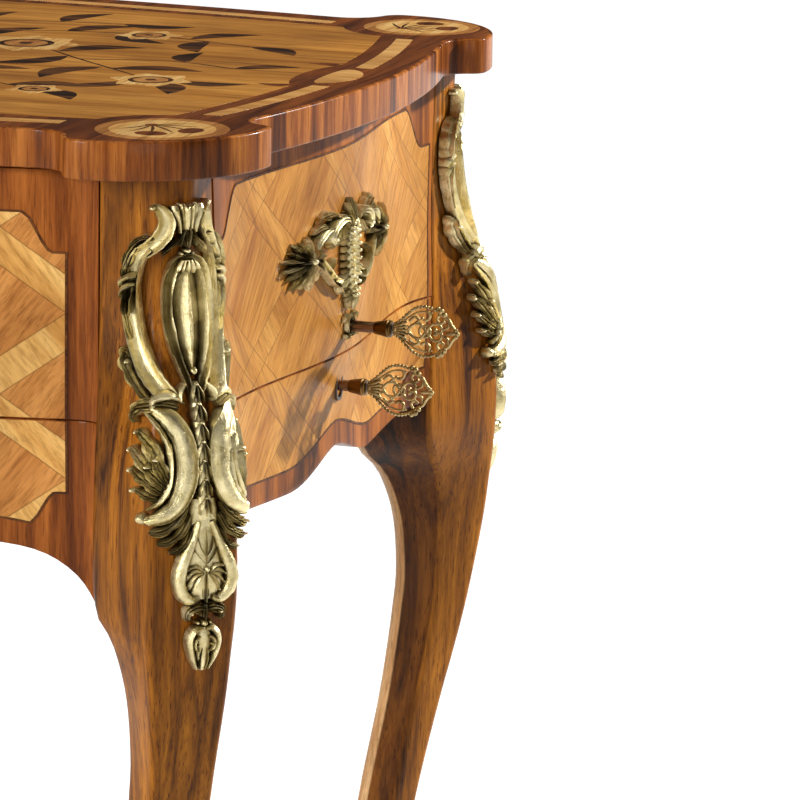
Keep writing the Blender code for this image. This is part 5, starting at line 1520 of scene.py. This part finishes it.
def mount_crown(mount):
    """A reeded head between two horns, with leaves below it."""
    mount.ribbon([(0, 33.6, 4.6, 4.6), (0, 36, 4.8, 6.6), (0, 41, 3.8, 6.6), (0, 46.5, 3.2, 6.2)], REEDED)
    mount.pair([(6.6, 34.4, 1.9, 4.6), (6.0, 37.5, 2, 6), (4.2, 43, 1.5, 5.8), (3.4, 48, 1.2, 5.4)], ROUND)
    horn = [
        (16, 34.8, 1.2, 3.4), (12.4, 36.2, 2.6, 5), (10.0, 41.5, 3.6, 6), (11, 48, 3.8, 6.4),
        (15, 54, 3.8, 6.4),
    ]
    mount.pair(horn + [(19.5, 58, 3.6, 6)], HOLLOW, steps=6)
    mount.beads(15.8, 35.6, 1.8, 4.8)
    mount.pair(
        [(1.5, 49, 1.2, 6), (5.5, 52.5, 1.9, 6.4), (9.5, 56.5, 1.7, 6), (11, 59.6, 0.6, 4.6)],
        LEAF, steps=6, lobes=2,
    )
    mount.pair([(1.2, 46, 1, 6.4), (2.8, 50, 1.6, 7.2), (3.6, 55, 0.5, 5.8)], LEAF, steps=6, lobes=2)
    mount.ribbon([(0, 45.5, 1.4, 7), (0, 50, 2.2, 8), (0, 55.5, 0.8, 6.4)], LEAF, steps=6, lobes=2)
    mount.bead(0, 57.4, 1.7, 6.6)
    mount.beads(2.4, 58.6, 1.2, 5.6)


def mount_oval(mount):
    """Straps and leaves round a long keeled boss."""
    strap = [(18, 55, 3.2, 5), (22.4, 62, 4, 5.8), (25, 71, 4.5, 6), (25.8, 82, 4.7, 6), (24.9, 95, 4.8, 6)]
    mount.pair(strap + [(22.4, 107, 4.9, 6), (18, 119, 4.7, 5.8), (12.6, 128, 4, 5.2)], HOLLOW, steps=6)
    leaf = [
        (14.5, 50.5, 1.2, 5), (20, 51.6, 3, 7.2), (25.2, 57.6, 3.4, 8), (28, 65.5, 3, 8.2),
        (28.6, 72, 1.6, 7),
    ]
    mount.pair(leaf, LEAF, steps=9, lobes=4)
    mount.pair([(21.6, 69.4, 1.2, 7), (25.4, 69.6, 1.8, 8.8), (29.8, 72, 1.6, 8), (31, 75.4, 0.8, 6)], ROUND)
    mount.pair([(22.4, 73.4, 1, 7), (26, 74, 1.6, 8.6), (29.8, 77, 1.5, 7.8), (30.8, 80.6, 0.7, 6)], ROUND)
    mount.pair(
        [(27, 75.5, 1.2, 7.4), (29.2, 82, 2.3, 7.6), (28.8, 91, 1.8, 7), (26.6, 100, 0.6, 5.8)],
        LEAF, steps=8, lobes=3,
    )
    mount.pair([(23, 76, 0.8, 6.4), (25.4, 81.5, 1.4, 6.4), (26.6, 88, 0.5, 5.4)], LEAF, steps=6, lobes=2)
    rim = [(0, 60.5, 1.8, 5), (5.6, 63, 2.1, 6), (9, 72, 2.2, 6.8), (10.2, 86, 2.2, 7), (9.4, 99, 2.1, 6.8)]
    mount.pair(rim + [(7, 110, 2, 6.4), (4, 119, 1.8, 6), (2.4, 126, 1.2, 5.4)], HOLLOW, steps=6)
    keel = [
        (0, 65, 5.4, 4.8), (0, 74, 7.2, 6.2), (0, 88, 8, 6.8), (0, 100, 7, 6.4), (0, 110, 4.8, 5.4),
        (0, 117, 2, 4.4),
    ]
    mount.ribbon(keel, KEEL, steps=6)
    mount.bead(0, 115, 2.7, 7)
    for across in (-4.4, -2.2, 0, 2.2, 4.4):
        tip = 69 - abs(across) * 0.3
        rows = [(across * 0.5, 61.8, 0.9, 6.4), (across, 65.6, 1.5, 7.2), (across * 1.2, tip, 0.7, 5.6)]
        mount.ribbon(rows, ROUND)
    scroll = [
        (22, 129, 2, 5.2), (27, 122.6, 3.8, 6.6), (31, 115.4, 4.9, 7.6), (32, 109.4, 4.6, 7.8),
        (29.4, 106, 3.2, 7.4),
    ]
    mount.pair(scroll + [(27, 108.6, 1.6, 6.4)], LEAF, steps=8, lobes=5)
    mount.beads(29, 110.6, 2, 8.6)
    mount.pair([(5, 121, 1, 5.4), (8, 124.6, 1.7, 6.4), (8.6, 128.6, 1.3, 6), (6.4, 129.6, 0.7, 5)], ROUND)


def mount_scrolls(mount):
    """Two broad scrolls with leaf sprays, and a strand of bellflowers between them."""
    leaf = [
        (10, 132, 2.6, 6.4), (17, 129.6, 3.8, 7.6), (24, 130.6, 4.1, 8), (29.4, 133, 3.4, 7.6),
        (32, 136.6, 2, 6.4),
    ]
    mount.pair(leaf + [(30.6, 139.2, 0.8, 5.4)], LEAF, steps=8, lobes=4)
    mount.pair(
        [(9, 127.6, 1.8, 6), (14, 125.6, 2.6, 7), (19, 127.4, 2.2, 7.4), (20.6, 131, 1.2, 7)],
        ROUND, steps=6,
    )
    scroll = [
        (21.5, 131, 2.6, 4.8), (15.4, 135.5, 4.6, 6.8), (10.4, 144.5, 5.8, 7.8), (8.6, 154.3, 6.2, 8),
        (9.4, 166, 6, 8),
    ]
    mount.pair(scroll + [(14, 176.6, 5, 7.4), (21, 182.8, 3.8, 6.8), (28, 185.4, 2.4, 5.8)], BROAD, steps=7)
    mount.beads(30.4, 184.4, 3.4, 6.6)
    rim = [(24, 133.5, 1.2, 5), (19.4, 141, 1.5, 5.8), (16.8, 150, 1.6, 6), (16.4, 159, 1.6, 6)]
    mount.pair(rim + [(18, 168, 1.5, 6), (22, 175.5, 1.4, 5.6), (27.5, 179.6, 1, 5)], ROUND)
    spray = (
        [
            (18, 170, 1.6, 4.8), (21, 160, 4.2, 6.6), (23.6, 151, 4.6, 7.2), (27, 145, 3.4, 7),
            (30, 142.6, 1.2, 5),
        ],
        [
            (19, 171, 1.6, 4.8), (24.6, 163, 4, 6.8), (29, 156.6, 4.2, 7.2), (33, 152.4, 2.8, 6.6),
            (35.4, 151.4, 1, 4.8),
        ],
        [
            (20, 173, 1.6, 4.8), (25.6, 168.4, 3.6, 6.4), (30.6, 164.4, 3.4, 6.4), (34.4, 161.6, 2.2, 5.8),
            (36, 161, 0.9, 4.4),
        ],
        [(21.5, 176, 1.4, 4.6), (26.6, 174, 2.8, 5.6), (31, 172, 2.6, 5.4), (34.6, 170.4, 1, 4.4)],
    )
    for leaf in spray:
        mount.pair(leaf, LEAF, steps=8, lobes=3)
        tip_across, tip_drop, _, _ = leaf[-1]
        mount.beads(tip_across - 0.6, tip_drop + 0.8, 1.7, 6.6)
    mount.beads(22.4, 155, 1.9, 8.4)
    mount.beads(25.6, 158.6, 1.6, 8.2)
    fringe = (
        [(9, 178, 2.8, 6), (15, 186, 3.4, 6.8), (22, 190.6, 3.1, 6.4), (27.6, 191, 1.6, 5.2)],
        [(8, 184, 2.8, 6), (12.6, 191.6, 3.3, 6.4), (18.6, 195.8, 2.9, 6), (24, 196.6, 1.5, 4.8)],
        [(7.4, 191, 2.6, 5.8), (10, 197, 2.9, 6), (14, 200.6, 2.4, 5.2), (18.4, 201.8, 1.2, 4)],
    )
    for band in fringe:
        mount.pair(band, LEAF, steps=7, lobes=2)
    mount.ribbon([(0, 176, 7, 4.6), (0, 186, 8, 5), (0, 193, 6, 4.8)], ROUND)
    mount.ribbon([(0, 120, 2.4, 5.4), (0, 140, 3.6, 6.2), (0, 160, 4, 6.4), (0, 186, 4.6, 6.4)], ROUND)
    for drop in (121, 130, 139, 148, 157, 166, 175):
        mount.ribbon([(0, drop, 1.0, 7.6), (0, drop + 4.6, 1.9, 9), (0, drop + 9.6, 0.5, 7)], LEAF)
        mount.pair(
            [(0.8, drop + 0.6, 0.7, 7.4), (2.6, drop + 4.6, 1.1, 8.2), (3.2, drop + 8.4, 0.4, 6.8)],
            ROUND,
        )
        mount.bead(0, drop, 1.5, 8.6)


def mount_cartouche(mount):
    """A rimmed shield with a shell, a knot and a bud."""
    rim = [
        (3.4, 187, 2.1, 5.8), (6.4, 195, 2.7, 6.6), (11, 205.5, 3.3, 7), (13.6, 215, 3.5, 7),
        (11.8, 222.6, 3.4, 7),
    ]
    mount.pair(rim + [(7.4, 226.4, 2.8, 6.6), (3.4, 225, 1.8, 6)], ROUND, steps=7)
    mount.ribbon(
        [(0, 188, 4.4, 5), (0, 200, 7.8, 5.2), (0, 211, 11.4, 5), (0, 219, 11.8, 4.8), (0, 226, 7, 4.2)],
        ROUND,
    )
    mount.ribbon(
        [(0, 189, 0.8, 5), (0, 197, 2.2, 7), (0, 205, 1.6, 6.8), (0, 210, 0.7, 5.8)],
        LEAF, steps=7, lobes=2,
    )
    mount.pair([(0.6, 204, 0.8, 5.6), (3, 199.4, 1.4, 6.4), (4.4, 194, 0.5, 4.8)], LEAF, steps=6, lobes=2)
    mount.pair([(0.6, 208, 0.8, 5.6), (4, 204, 1.4, 6.2), (6.6, 200, 0.5, 4.6)], LEAF, steps=6, lobes=2)
    mount.bead(0, 210.5, 2.2, 8)
    for reach, tip in ((8.6, 209.6), (10.2, 213.6), (9.8, 218), (7.4, 221.6)):
        middle = (211.5 + tip) / 2 - 1.4
        mount.pair(
            [(1.4, 213, 0.9, 5.6), (reach * 0.55, middle, 1.5, 7), (reach, tip, 0.8, 5.4)],
            ROUND, steps=5,
        )
        mount.beads(reach, tip, 1.2, 5.8)
    mount.ribbon([(0, 212, 1.2, 6.4), (0, 218.5, 2.4, 7.8), (0, 227.4, 1.7, 7)], LEAF, steps=7, lobes=2)
    knot = [(0.6, 231, 2.4, 7), (4.6, 230.4, 3.6, 8.6), (8.4, 232, 3, 8.2), (9.2, 235, 1.8, 7)]
    mount.pair(knot + [(7.2, 236.4, 1, 6)], LEAF, steps=7, lobes=3)
    mount.ribbon([(0, 228.4, 1.8, 6.6), (0, 232.4, 2.8, 7.8), (0, 236.4, 1.2, 6)], LEAF, steps=6, lobes=2)
    mount.beads(8, 232.6, 1.8, 7.6)
    mount.bead(0, 238.4, 2.3, 6.4)
    mount.beads(3.2, 238.2, 1.4, 5)
    mount.ribbon(
        [(0, 240.4, 2.8, 4.6), (0, 246, 5.4, 5.4), (0, 253, 5, 5.2), (0, 259.5, 3, 4.8), (0, 263, 1.6, 3.6)],
        ROUND,
    )
    bud = [(0.8, 241, 1.2, 6), (5.2, 241.8, 1.9, 7.2), (7.4, 247, 2, 7.2), (6, 255, 1.7, 6.6)]
    mount.pair(bud + [(3, 262.4, 0.8, 4.6)], ROUND, steps=7)
    mount.pair(
        [(2.4, 245, 0.9, 6.6), (5, 247, 1.3, 7.4), (4.8, 251, 1.2, 7.2), (2.8, 252.6, 0.7, 6.4)],
        ROUND, steps=6,
    )
    mount.pair([(1.2, 251, 0.8, 6), (2, 256.5, 1.2, 6.6), (1.2, 262.6, 0.6, 4.6)], LEAF, steps=6, lobes=2)
    mount.beads(3.6, 249, 1.1, 7.8)


# Escutcheon on the right side, in millimetres along the wall and above the crank's axis


ROSETTE = (56, 44)  # along, up
OUTER_REACH = (22, 13.4)  # along, up, from the rosette's middle to its tips
INNER_REACH = (11, 7.4)
OUTER_PETAL = ((0.16, 0.9, 5), (0.45, 1.8, 6.4), (0.8, 1.6, 5), (1, 0.5, 2.4))  # share, half width, height
INNER_PETAL = ((0.1, 0.9, 6.6), (0.55, 1.7, 8.2), (1, 0.5, 5.4))
OUTER_PETALS = 17
INNER_PETALS = 9
KEYHOLE_RING = 5.4
ESCUTCHEON_OUT = 0.0003


def petal(turn, reach, longer, shares):
    """One leaf of the rosette, as rows for a ribbon."""
    rows = []
    for share, half, high in shares:
        along = ROSETTE[0] + reach[0] * longer * share * math.cos(turn)
        up = ROSETTE[1] + reach[1] * longer * share * math.sin(turn)
        rows.append((along, up, half, high))
    return rows


def escutcheon():
    """A looped strand above the keyhole, an arm to each side, and a leafy rosette at its end."""

    def on_wall(along, up, out):
        z = CRANK_Z + up
        return (DESK_X + CORNER_X + side_bulge(along, z) + ESCUTCHEON_OUT + out, along, z)

    casting = Casting(on_wall)
    strand = [(1.5, 57, 1.7, 4), (4.6, 51, 1.9, 4.8), (5.8, 40, 2, 5), (4.8, 28, 1.9, 4.8), (1.6, 17, 1.6, 4)]
    casting.pair(strand, ROUND, steps=5)
    for along, up, _, _ in flowing(strand, 3):
        casting.beads(along, up, 2.0, 6.6)
        casting.pair(
            [(along + 1, up, 0.8, 4), (along + 3.6, up - 0.8, 1.3, 4.8), (along + 5.4, up - 3, 0.4, 2.6)],
            LEAF, steps=4,
        )
    casting.ribbon([(0, 20, 2.4, 5), (0, 15, 3.4, 6), (0, 9.4, 1.2, 4)], LEAF, steps=7, lobes=2)
    casting.pair([(1.6, 18, 1, 4.4), (4.4, 14.4, 1.6, 5), (5, 10, 0.5, 3)], LEAF, steps=6, lobes=2)
    for along, tip in ((0, 69), (2.6, 66.6), (5.4, 62.6)):
        rows = [(along * 0.5, 52, 1.2, 4.6), (along * 0.9, 58.6, 1.9, 6.2), (along * 1.6, tip, 0.6, 3.6)]
        casting.pair(rows, LEAF, steps=6, lobes=2)
    casting.bead(0, 52, 2.4, 7)
    arm = [
        (2, 54, 2, 4.6), (9, 58.4, 2.6, 6), (18, 59.6, 2.9, 6.6), (27, 57, 3, 6.8),
        (31, 52, 2.6, 6.4), (27.4, 48.6, 1.6, 5.6),
    ]
    casting.pair(arm, REEDED, steps=7)
    casting.beads(28.6, 51, 2, 7.4)
    casting.pair(
        [(31, 57, 1.6, 5.4), (39, 56, 2.6, 6.4), (46, 51.6, 2.4, 6), (49, 46.6, 1.6, 5)],
        REEDED, steps=7,
    )
    casting.pair(
        [(18, 60, 1.4, 5.2), (27, 63.6, 2.8, 6.2), (37, 63.4, 2.2, 5), (42, 60.6, 0.7, 3.2)],
        LEAF, steps=8, lobes=3,
    )
    casting.pair([(30, 57, 1.4, 5.2), (40, 58.8, 2.8, 6), (49, 56.6, 0.8, 3.2)], LEAF, steps=8, lobes=3)
    casting.pair(
        [(14, 55, 1.2, 4.6), (20, 49.6, 2.2, 5.4), (27, 47.2, 1.9, 5), (30.6, 49.4, 0.8, 3.6)],
        LEAF, steps=6, lobes=2,
    )
    scroll = [
        (42, 42, 1.8, 4.6), (35, 35.6, 2.2, 5.2), (26, 28.6, 2.4, 5.4), (16, 26, 2.3, 5.2),
        (8, 29, 1.8, 4.6),
    ]
    casting.pair(scroll, HOLLOW, steps=6)
    casting.pair([(32, 33, 1, 4.4), (28, 38, 1.8, 5), (22, 40, 0.6, 3)], LEAF, steps=6, lobes=2)
    casting.pair([(21, 27, 1, 4.4), (17, 21.6, 1.8, 4.8), (12, 19.6, 0.6, 3)], LEAF, steps=6, lobes=2)
    for number in range(OUTER_PETALS):
        turn = 2 * math.pi * (number + 0.5) / OUTER_PETALS
        longer = 1 + 0.16 * math.cos(turn + 1.1) + 0.08 * (-1) ** number
        casting.pair(petal(turn, OUTER_REACH, longer, OUTER_PETAL), LEAF, steps=6, lobes=3)
    for number in range(INNER_PETALS):
        turn = 2 * math.pi * number / INNER_PETALS
        casting.pair(petal(turn, INNER_REACH, 1, INNER_PETAL), LEAF, steps=5, lobes=2)
    casting.beads(*ROSETTE, 2.8, 9)
    ring = round_outline(0, 0, KEYHOLE_RING, 16)
    ring = [(along, up, 1.2, 2.6) for up, along in ring + ring[:1]]
    casting.ribbon(ring, LEAF, steps=4, lobes=8)
    casting.pair([(3.6, 5.6, 0.9, 3), (7, 6.4, 1.5, 3.8), (9, 3, 0.5, 2.6)], LEAF, steps=6, lobes=2)
    casting.pair([(4, -4, 0.9, 3), (6.8, -5.4, 1.3, 3.4), (8.6, -3.4, 0.5, 2.4)], LEAF, steps=6, lobes=2)
    casting.cast("side_escutcheon_casting", mount_gilt, "frame", ["side_escutcheon"])


# Keys, with their bows in millimetres from the collar and above the axis


BOW_EDGE = ((0.8, 2.4), (4, 4.6), (8, 8.5), (12, 11.7), (16.6, 13.1), (21.2, 12.5), (25.6, 10.8))
BOW_FAR = ((25.6, 10.8), (28.6, 8.4), (31, 7), (32.6, 4.2), (34.8, 1.4))
BOW_SCROLL = (
    (8, 0), (11.4, 3.4), (15.4, 3.6), (18.4, 0), (21.6, -4), (25.6, -4.2), (27, -1.2),
    (24.8, 0.2), (23.2, -1.4),
)
BOW_LEAVES = (
    ((9, 5), (12, 7.4), (14.4, 6), (13.4, 4.4)),
    ((19.6, 11), (20.4, 8), (18.2, 6), (16, 6.8)),
    ((25.6, 9.4), (24.4, 6.8), (26.4, 5), (28.4, 6.4)),
    ((30.6, 6), (30.4, 3.2), (28.2, 2)),
)
BOW_RING = (17.6, 3.1, 0.7)  # along, radius, thickness
BOW_KNOBS = (  # along, up, radius
    (26.6, 11.6, 1.7),
    (28.6, 9.6, 1.4),
    (24.8, 12.9, 1.2),
    (34.8, 1.8, 1.2),
    (23.4, 1.2, 1.2),
    (13.2, 4.6, 1.0),
    (16.2, 6.9, 1.0),
)
BOW_TIP = (35.9, 0, 1.3)
EDGE_BEAD = 0.98


def key_bow(name, node, body):
    """A pierced bow: a beaded edge, scrolls and a trefoil tip."""
    low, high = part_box(node)
    axis = (low.z + high.z) / 2

    def at(along, up, out):
        return (low.x + along, out, axis + up)

    bow = Casting(at, stand=0.0)

    def wire(path, radius):
        for sign in (1, -1):
            bow.ribbon([(along, sign * up, radius, radius) for along, up in path], WIRE, steps=6)

    wire(BOW_EDGE, radius=0.58)
    wire(BOW_FAR, radius=0.95)
    wire(BOW_SCROLL, radius=0.85)
    wire([(along + 0.6, up * 0.84 - 0.3) for along, up in BOW_EDGE[1:-1]], radius=0.55)
    for path in BOW_LEAVES:
        wire(path, radius=0.8)
    for spread in (-4, -2, 0, 2, 4):
        tip = 9.4 - abs(spread) * 0.4
        rows = [(0.2, spread * 0.4, 0.9, 1.4), (4.6, spread * 0.75, 1.1, 1.7), (tip, spread * 1.15, 0.4, 0.8)]
        bow.ribbon(rows, WIRE, steps=5)
    ring = round_outline(BOW_RING[0], 0, BOW_RING[1], 14)
    ring = [(along, up, BOW_RING[2], BOW_RING[2]) for along, up in ring + ring[:1]]
    bow.ribbon(ring, WIRE, steps=2)
    bow.ribbon([(0.1, 0, 2.4, 1.6), (1.2, 0, 2.8, 1.7), (2.2, 0, 2.2, 1.5)], WIRE)
    bow.ribbon([(29.4, 0, 0.6, 0.7), (31.4, 0, 1.2, 1.1), (33.6, 0, 1.1, 1), (35.6, 0, 1.0, 0.9)], WIRE)

    def knob(along, up, radius):
        cap = radius * 0.71
        rows = [
            (along - radius, up, THINNEST, THINNEST),
            (along - radius * 0.7, up, cap, cap),
            (along, up, radius, radius),
            (along + radius * 0.7, up, cap, cap),
            (along + radius, up, THINNEST, THINNEST),
        ]
        bow.ribbon(rows, WIRE, steps=2)

    for along, up in flowing(BOW_EDGE, 5)[1::2]:
        for sign in (1, -1):
            knob(along, sign * (up + 0.3), EDGE_BEAD)
    for sign in (1, -1):
        for along, up, radius in BOW_KNOBS:
            knob(along, sign * up, radius)
    knob(*BOW_TIP)
    bow.cast(name, key_gilt, body, [node], angle=70)


ROD = 0.0030
ROD_TIP = 0.0024
ROD_END = 0.0090  # inside the collar
ROD_BEVEL = 0.0002
COLLAR = (  # place before the bow, radius
    (-0.0100, 0),
    (-0.0100, 0.0030),
    (-0.0096, 0.0034),
    (-0.0060, 0.0040),
    (-0.0026, 0.0047),
    (-0.0022, 0.0048),
    (-0.0018, 0.0044),
    (-0.0014, 0.0041),
    (-0.0010, 0.0045),
    (-0.0005, 0.0043),
    (-0.0002, 0.0036),
    (-0.0002, 0),
)


def key_stem(name, node, body):
    """The key's rod with a turned collar next to the bow."""
    low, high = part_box(node)
    axis = (low.z + high.z) / 2
    start = low.x
    end = high.x
    rod_end = end - ROD_END
    rows = [(start, 0), (start, ROD_TIP), (start + MM, ROD), (rod_end - ROD_BEVEL, ROD), (rod_end, 0)]
    rod = turned(rows, axis)
    smooth(rod, 40)
    finish_piece(rod, name + "_rod", key_steel, body, [node])
    collar = turned([(end + x, radius) for x, radius in COLLAR], axis)
    smooth(collar, 40)
    finish_piece(collar, name + "_collar", key_collar, body)


# Finishes of the inner parts, which keep their own shapes

INNER_FINISHES = (
    (lock_steel, ("drive_shaft", "lock_case", "keyhole_liner", "idler_axle_left", "idler_axle_right")),
    (lock_brass, ("lock_bolt", "top_rack_left", "top_rack_right", "drawer_rack_left", "drawer_rack_right")),
    (lock_brass, ("idler_gear_left", "idler_gear_right", "shaft_bearing_left", "shaft_bearing_right")),
    (inner_walnut, ("top_guide_left", "top_guide_right", "drawer_runner_left", "drawer_runner_right")),
    (inner_walnut, ("writing_slope",)),
    (lining_oak, ("side_drawer_rail_front", "side_drawer_rail_back", "side_drawer_bottom")),
    (lining_oak, ("side_drawer_wall_front", "side_drawer_wall_back")),
    (lining_oak, ("dust_board", "drawer_back", "drawer_bottom")),
    (lining_oak_deep, ("side_drawer_back", "drawer_side_left", "drawer_side_right")),
    (lining_oak_deep, ("drawer_partition_left", "drawer_partition_right")),
    (lid_satinwood, ("compartment_lid_left", "compartment_lid_right")),
    (leather, ("slope_leather",)),
)


def inner_finishes():
    """Gives the nodes that stay in view their woods and metals."""
    for material, nodes in INNER_FINISHES:
        for node in nodes:
            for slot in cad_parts[node].material_slots:
                slot.material = material


# Camera, light and floor


CAMERA_PLACE = (1.2044, -2.2986, 1.131)
CAMERA_TURN = math.radians(18.675)
CAMERA_TILT = math.radians(90 - 12.363)
CAMERA_ROLL = math.radians(0.788)
LENS = 211  # millimetres
SENSOR = 36
FAR_CLIP = 200  # metres
LAMPS = (  # name, place, aim, size, power
    ("key_lamp", (1.64, 1.25, 1.52), (0.38, 0, 0.64), 0.09, 69),
    ("fill_lamp", (1.5, -2.0, 1.2), (0.38, -0.2, 0.55), 1.2, 8),
    ("front_lamp", (-0.9, -2.4, 1.45), (0.2, -0.2, 0.62), 1.1, 64),
    ("overhead_lamp", (0.2, -0.6, 2.8), (0.1, 0, 0.6), 1.8, 10),
)
ROOM_LIGHT = 0.06
FLOOR_SIZE = 60.0


def lamp(name, place, aim, size, power):
    """A square lamp turned to its aim."""
    data = bpy.data.lights.new(name, "AREA")
    data.size = size
    data.energy = power
    obj = bpy.data.objects.new(name, data)
    bpy.context.scene.collection.objects.link(obj)
    obj.location = place
    obj.rotation_euler = (Vector(aim) - Vector(place)).to_track_quat("-Z", "Y").to_euler()


def studio():
    """The photograph's camera, the lamps and a paper floor."""
    data = bpy.data.cameras.new("camera")
    data.lens = LENS
    data.sensor_width = SENSOR
    data.clip_end = FAR_CLIP
    camera = bpy.data.objects.new("camera", data)
    bpy.context.scene.collection.objects.link(camera)
    aim = Matrix.Rotation(CAMERA_TURN, 4, "Z") @ Matrix.Rotation(CAMERA_TILT, 4, "X")
    camera.matrix_world = Matrix.Translation(CAMERA_PLACE) @ aim @ Matrix.Rotation(CAMERA_ROLL, 4, "Z")
    bpy.context.scene.camera = camera
    for row in LAMPS:
        lamp(*row)
    world = bpy.data.worlds.new("studio")
    bpy.context.scene.world = world
    world.use_nodes = True
    background = world.node_tree.nodes["Background"]
    background.inputs["Color"].default_value = WHITE
    background.inputs["Strength"].default_value = ROOM_LIGHT
    deselect()
    bpy.ops.mesh.primitive_plane_add(size=FLOOR_SIZE, location=(0, 0, 0))
    floor = bpy.context.object
    floor.name = "studio_floor"
    floor.data.materials.append(floor_paper())


def floor_paper():
    """Pale paper that shows white, keeps a shadow, and lights the object as plain paper does."""
    paper = Finish("floor_paper")
    speck = paper.noise(paper.space((6, 6, 6)), detail=3.0)
    shade = paper.ramp(speck, [(0.3, (0.46, 0.46, 0.46, 1)), (0.7, (0.50, 0.50, 0.50, 1))])
    paper.join(shade, paper.shader.inputs["Base Color"])
    paper.join(paper.span(speck, 0.88, 0.96), paper.shader.inputs["Roughness"])
    paper.set(Specular_IOR_Level=0.0, Emission_Color=WHITE)
    ways = paper.add("ShaderNodeLightPath")
    shown = paper.sum(ways.outputs["Is Camera Ray"], ways.outputs["Is Glossy Ray"])
    shown = paper.sum(shown, ways.outputs["Is Transmission Ray"])
    paper.join(paper.span(shown, 0.0, 1.0), paper.shader.inputs["Emission Strength"])
    return paper.made


table_top()
walls()
legs()
for corner_name, corner_x, corner_y in CORNERS:
    corner_mount(corner_name, corner_x, corner_y)
escutcheon()
key_bow("crank_key_pierced_bow", "crank_key_bow", "crank")
key_bow("drawer_key_pierced_bow", "drawer_key_bow", "drawer_key")
key_stem("crank_key", "crank_key_stem", "crank")
key_stem("drawer_key", "drawer_key_stem", "drawer_key")
inner_finishes()
studio()

scene = bpy.context.scene
scene.view_settings.view_transform = "Standard"
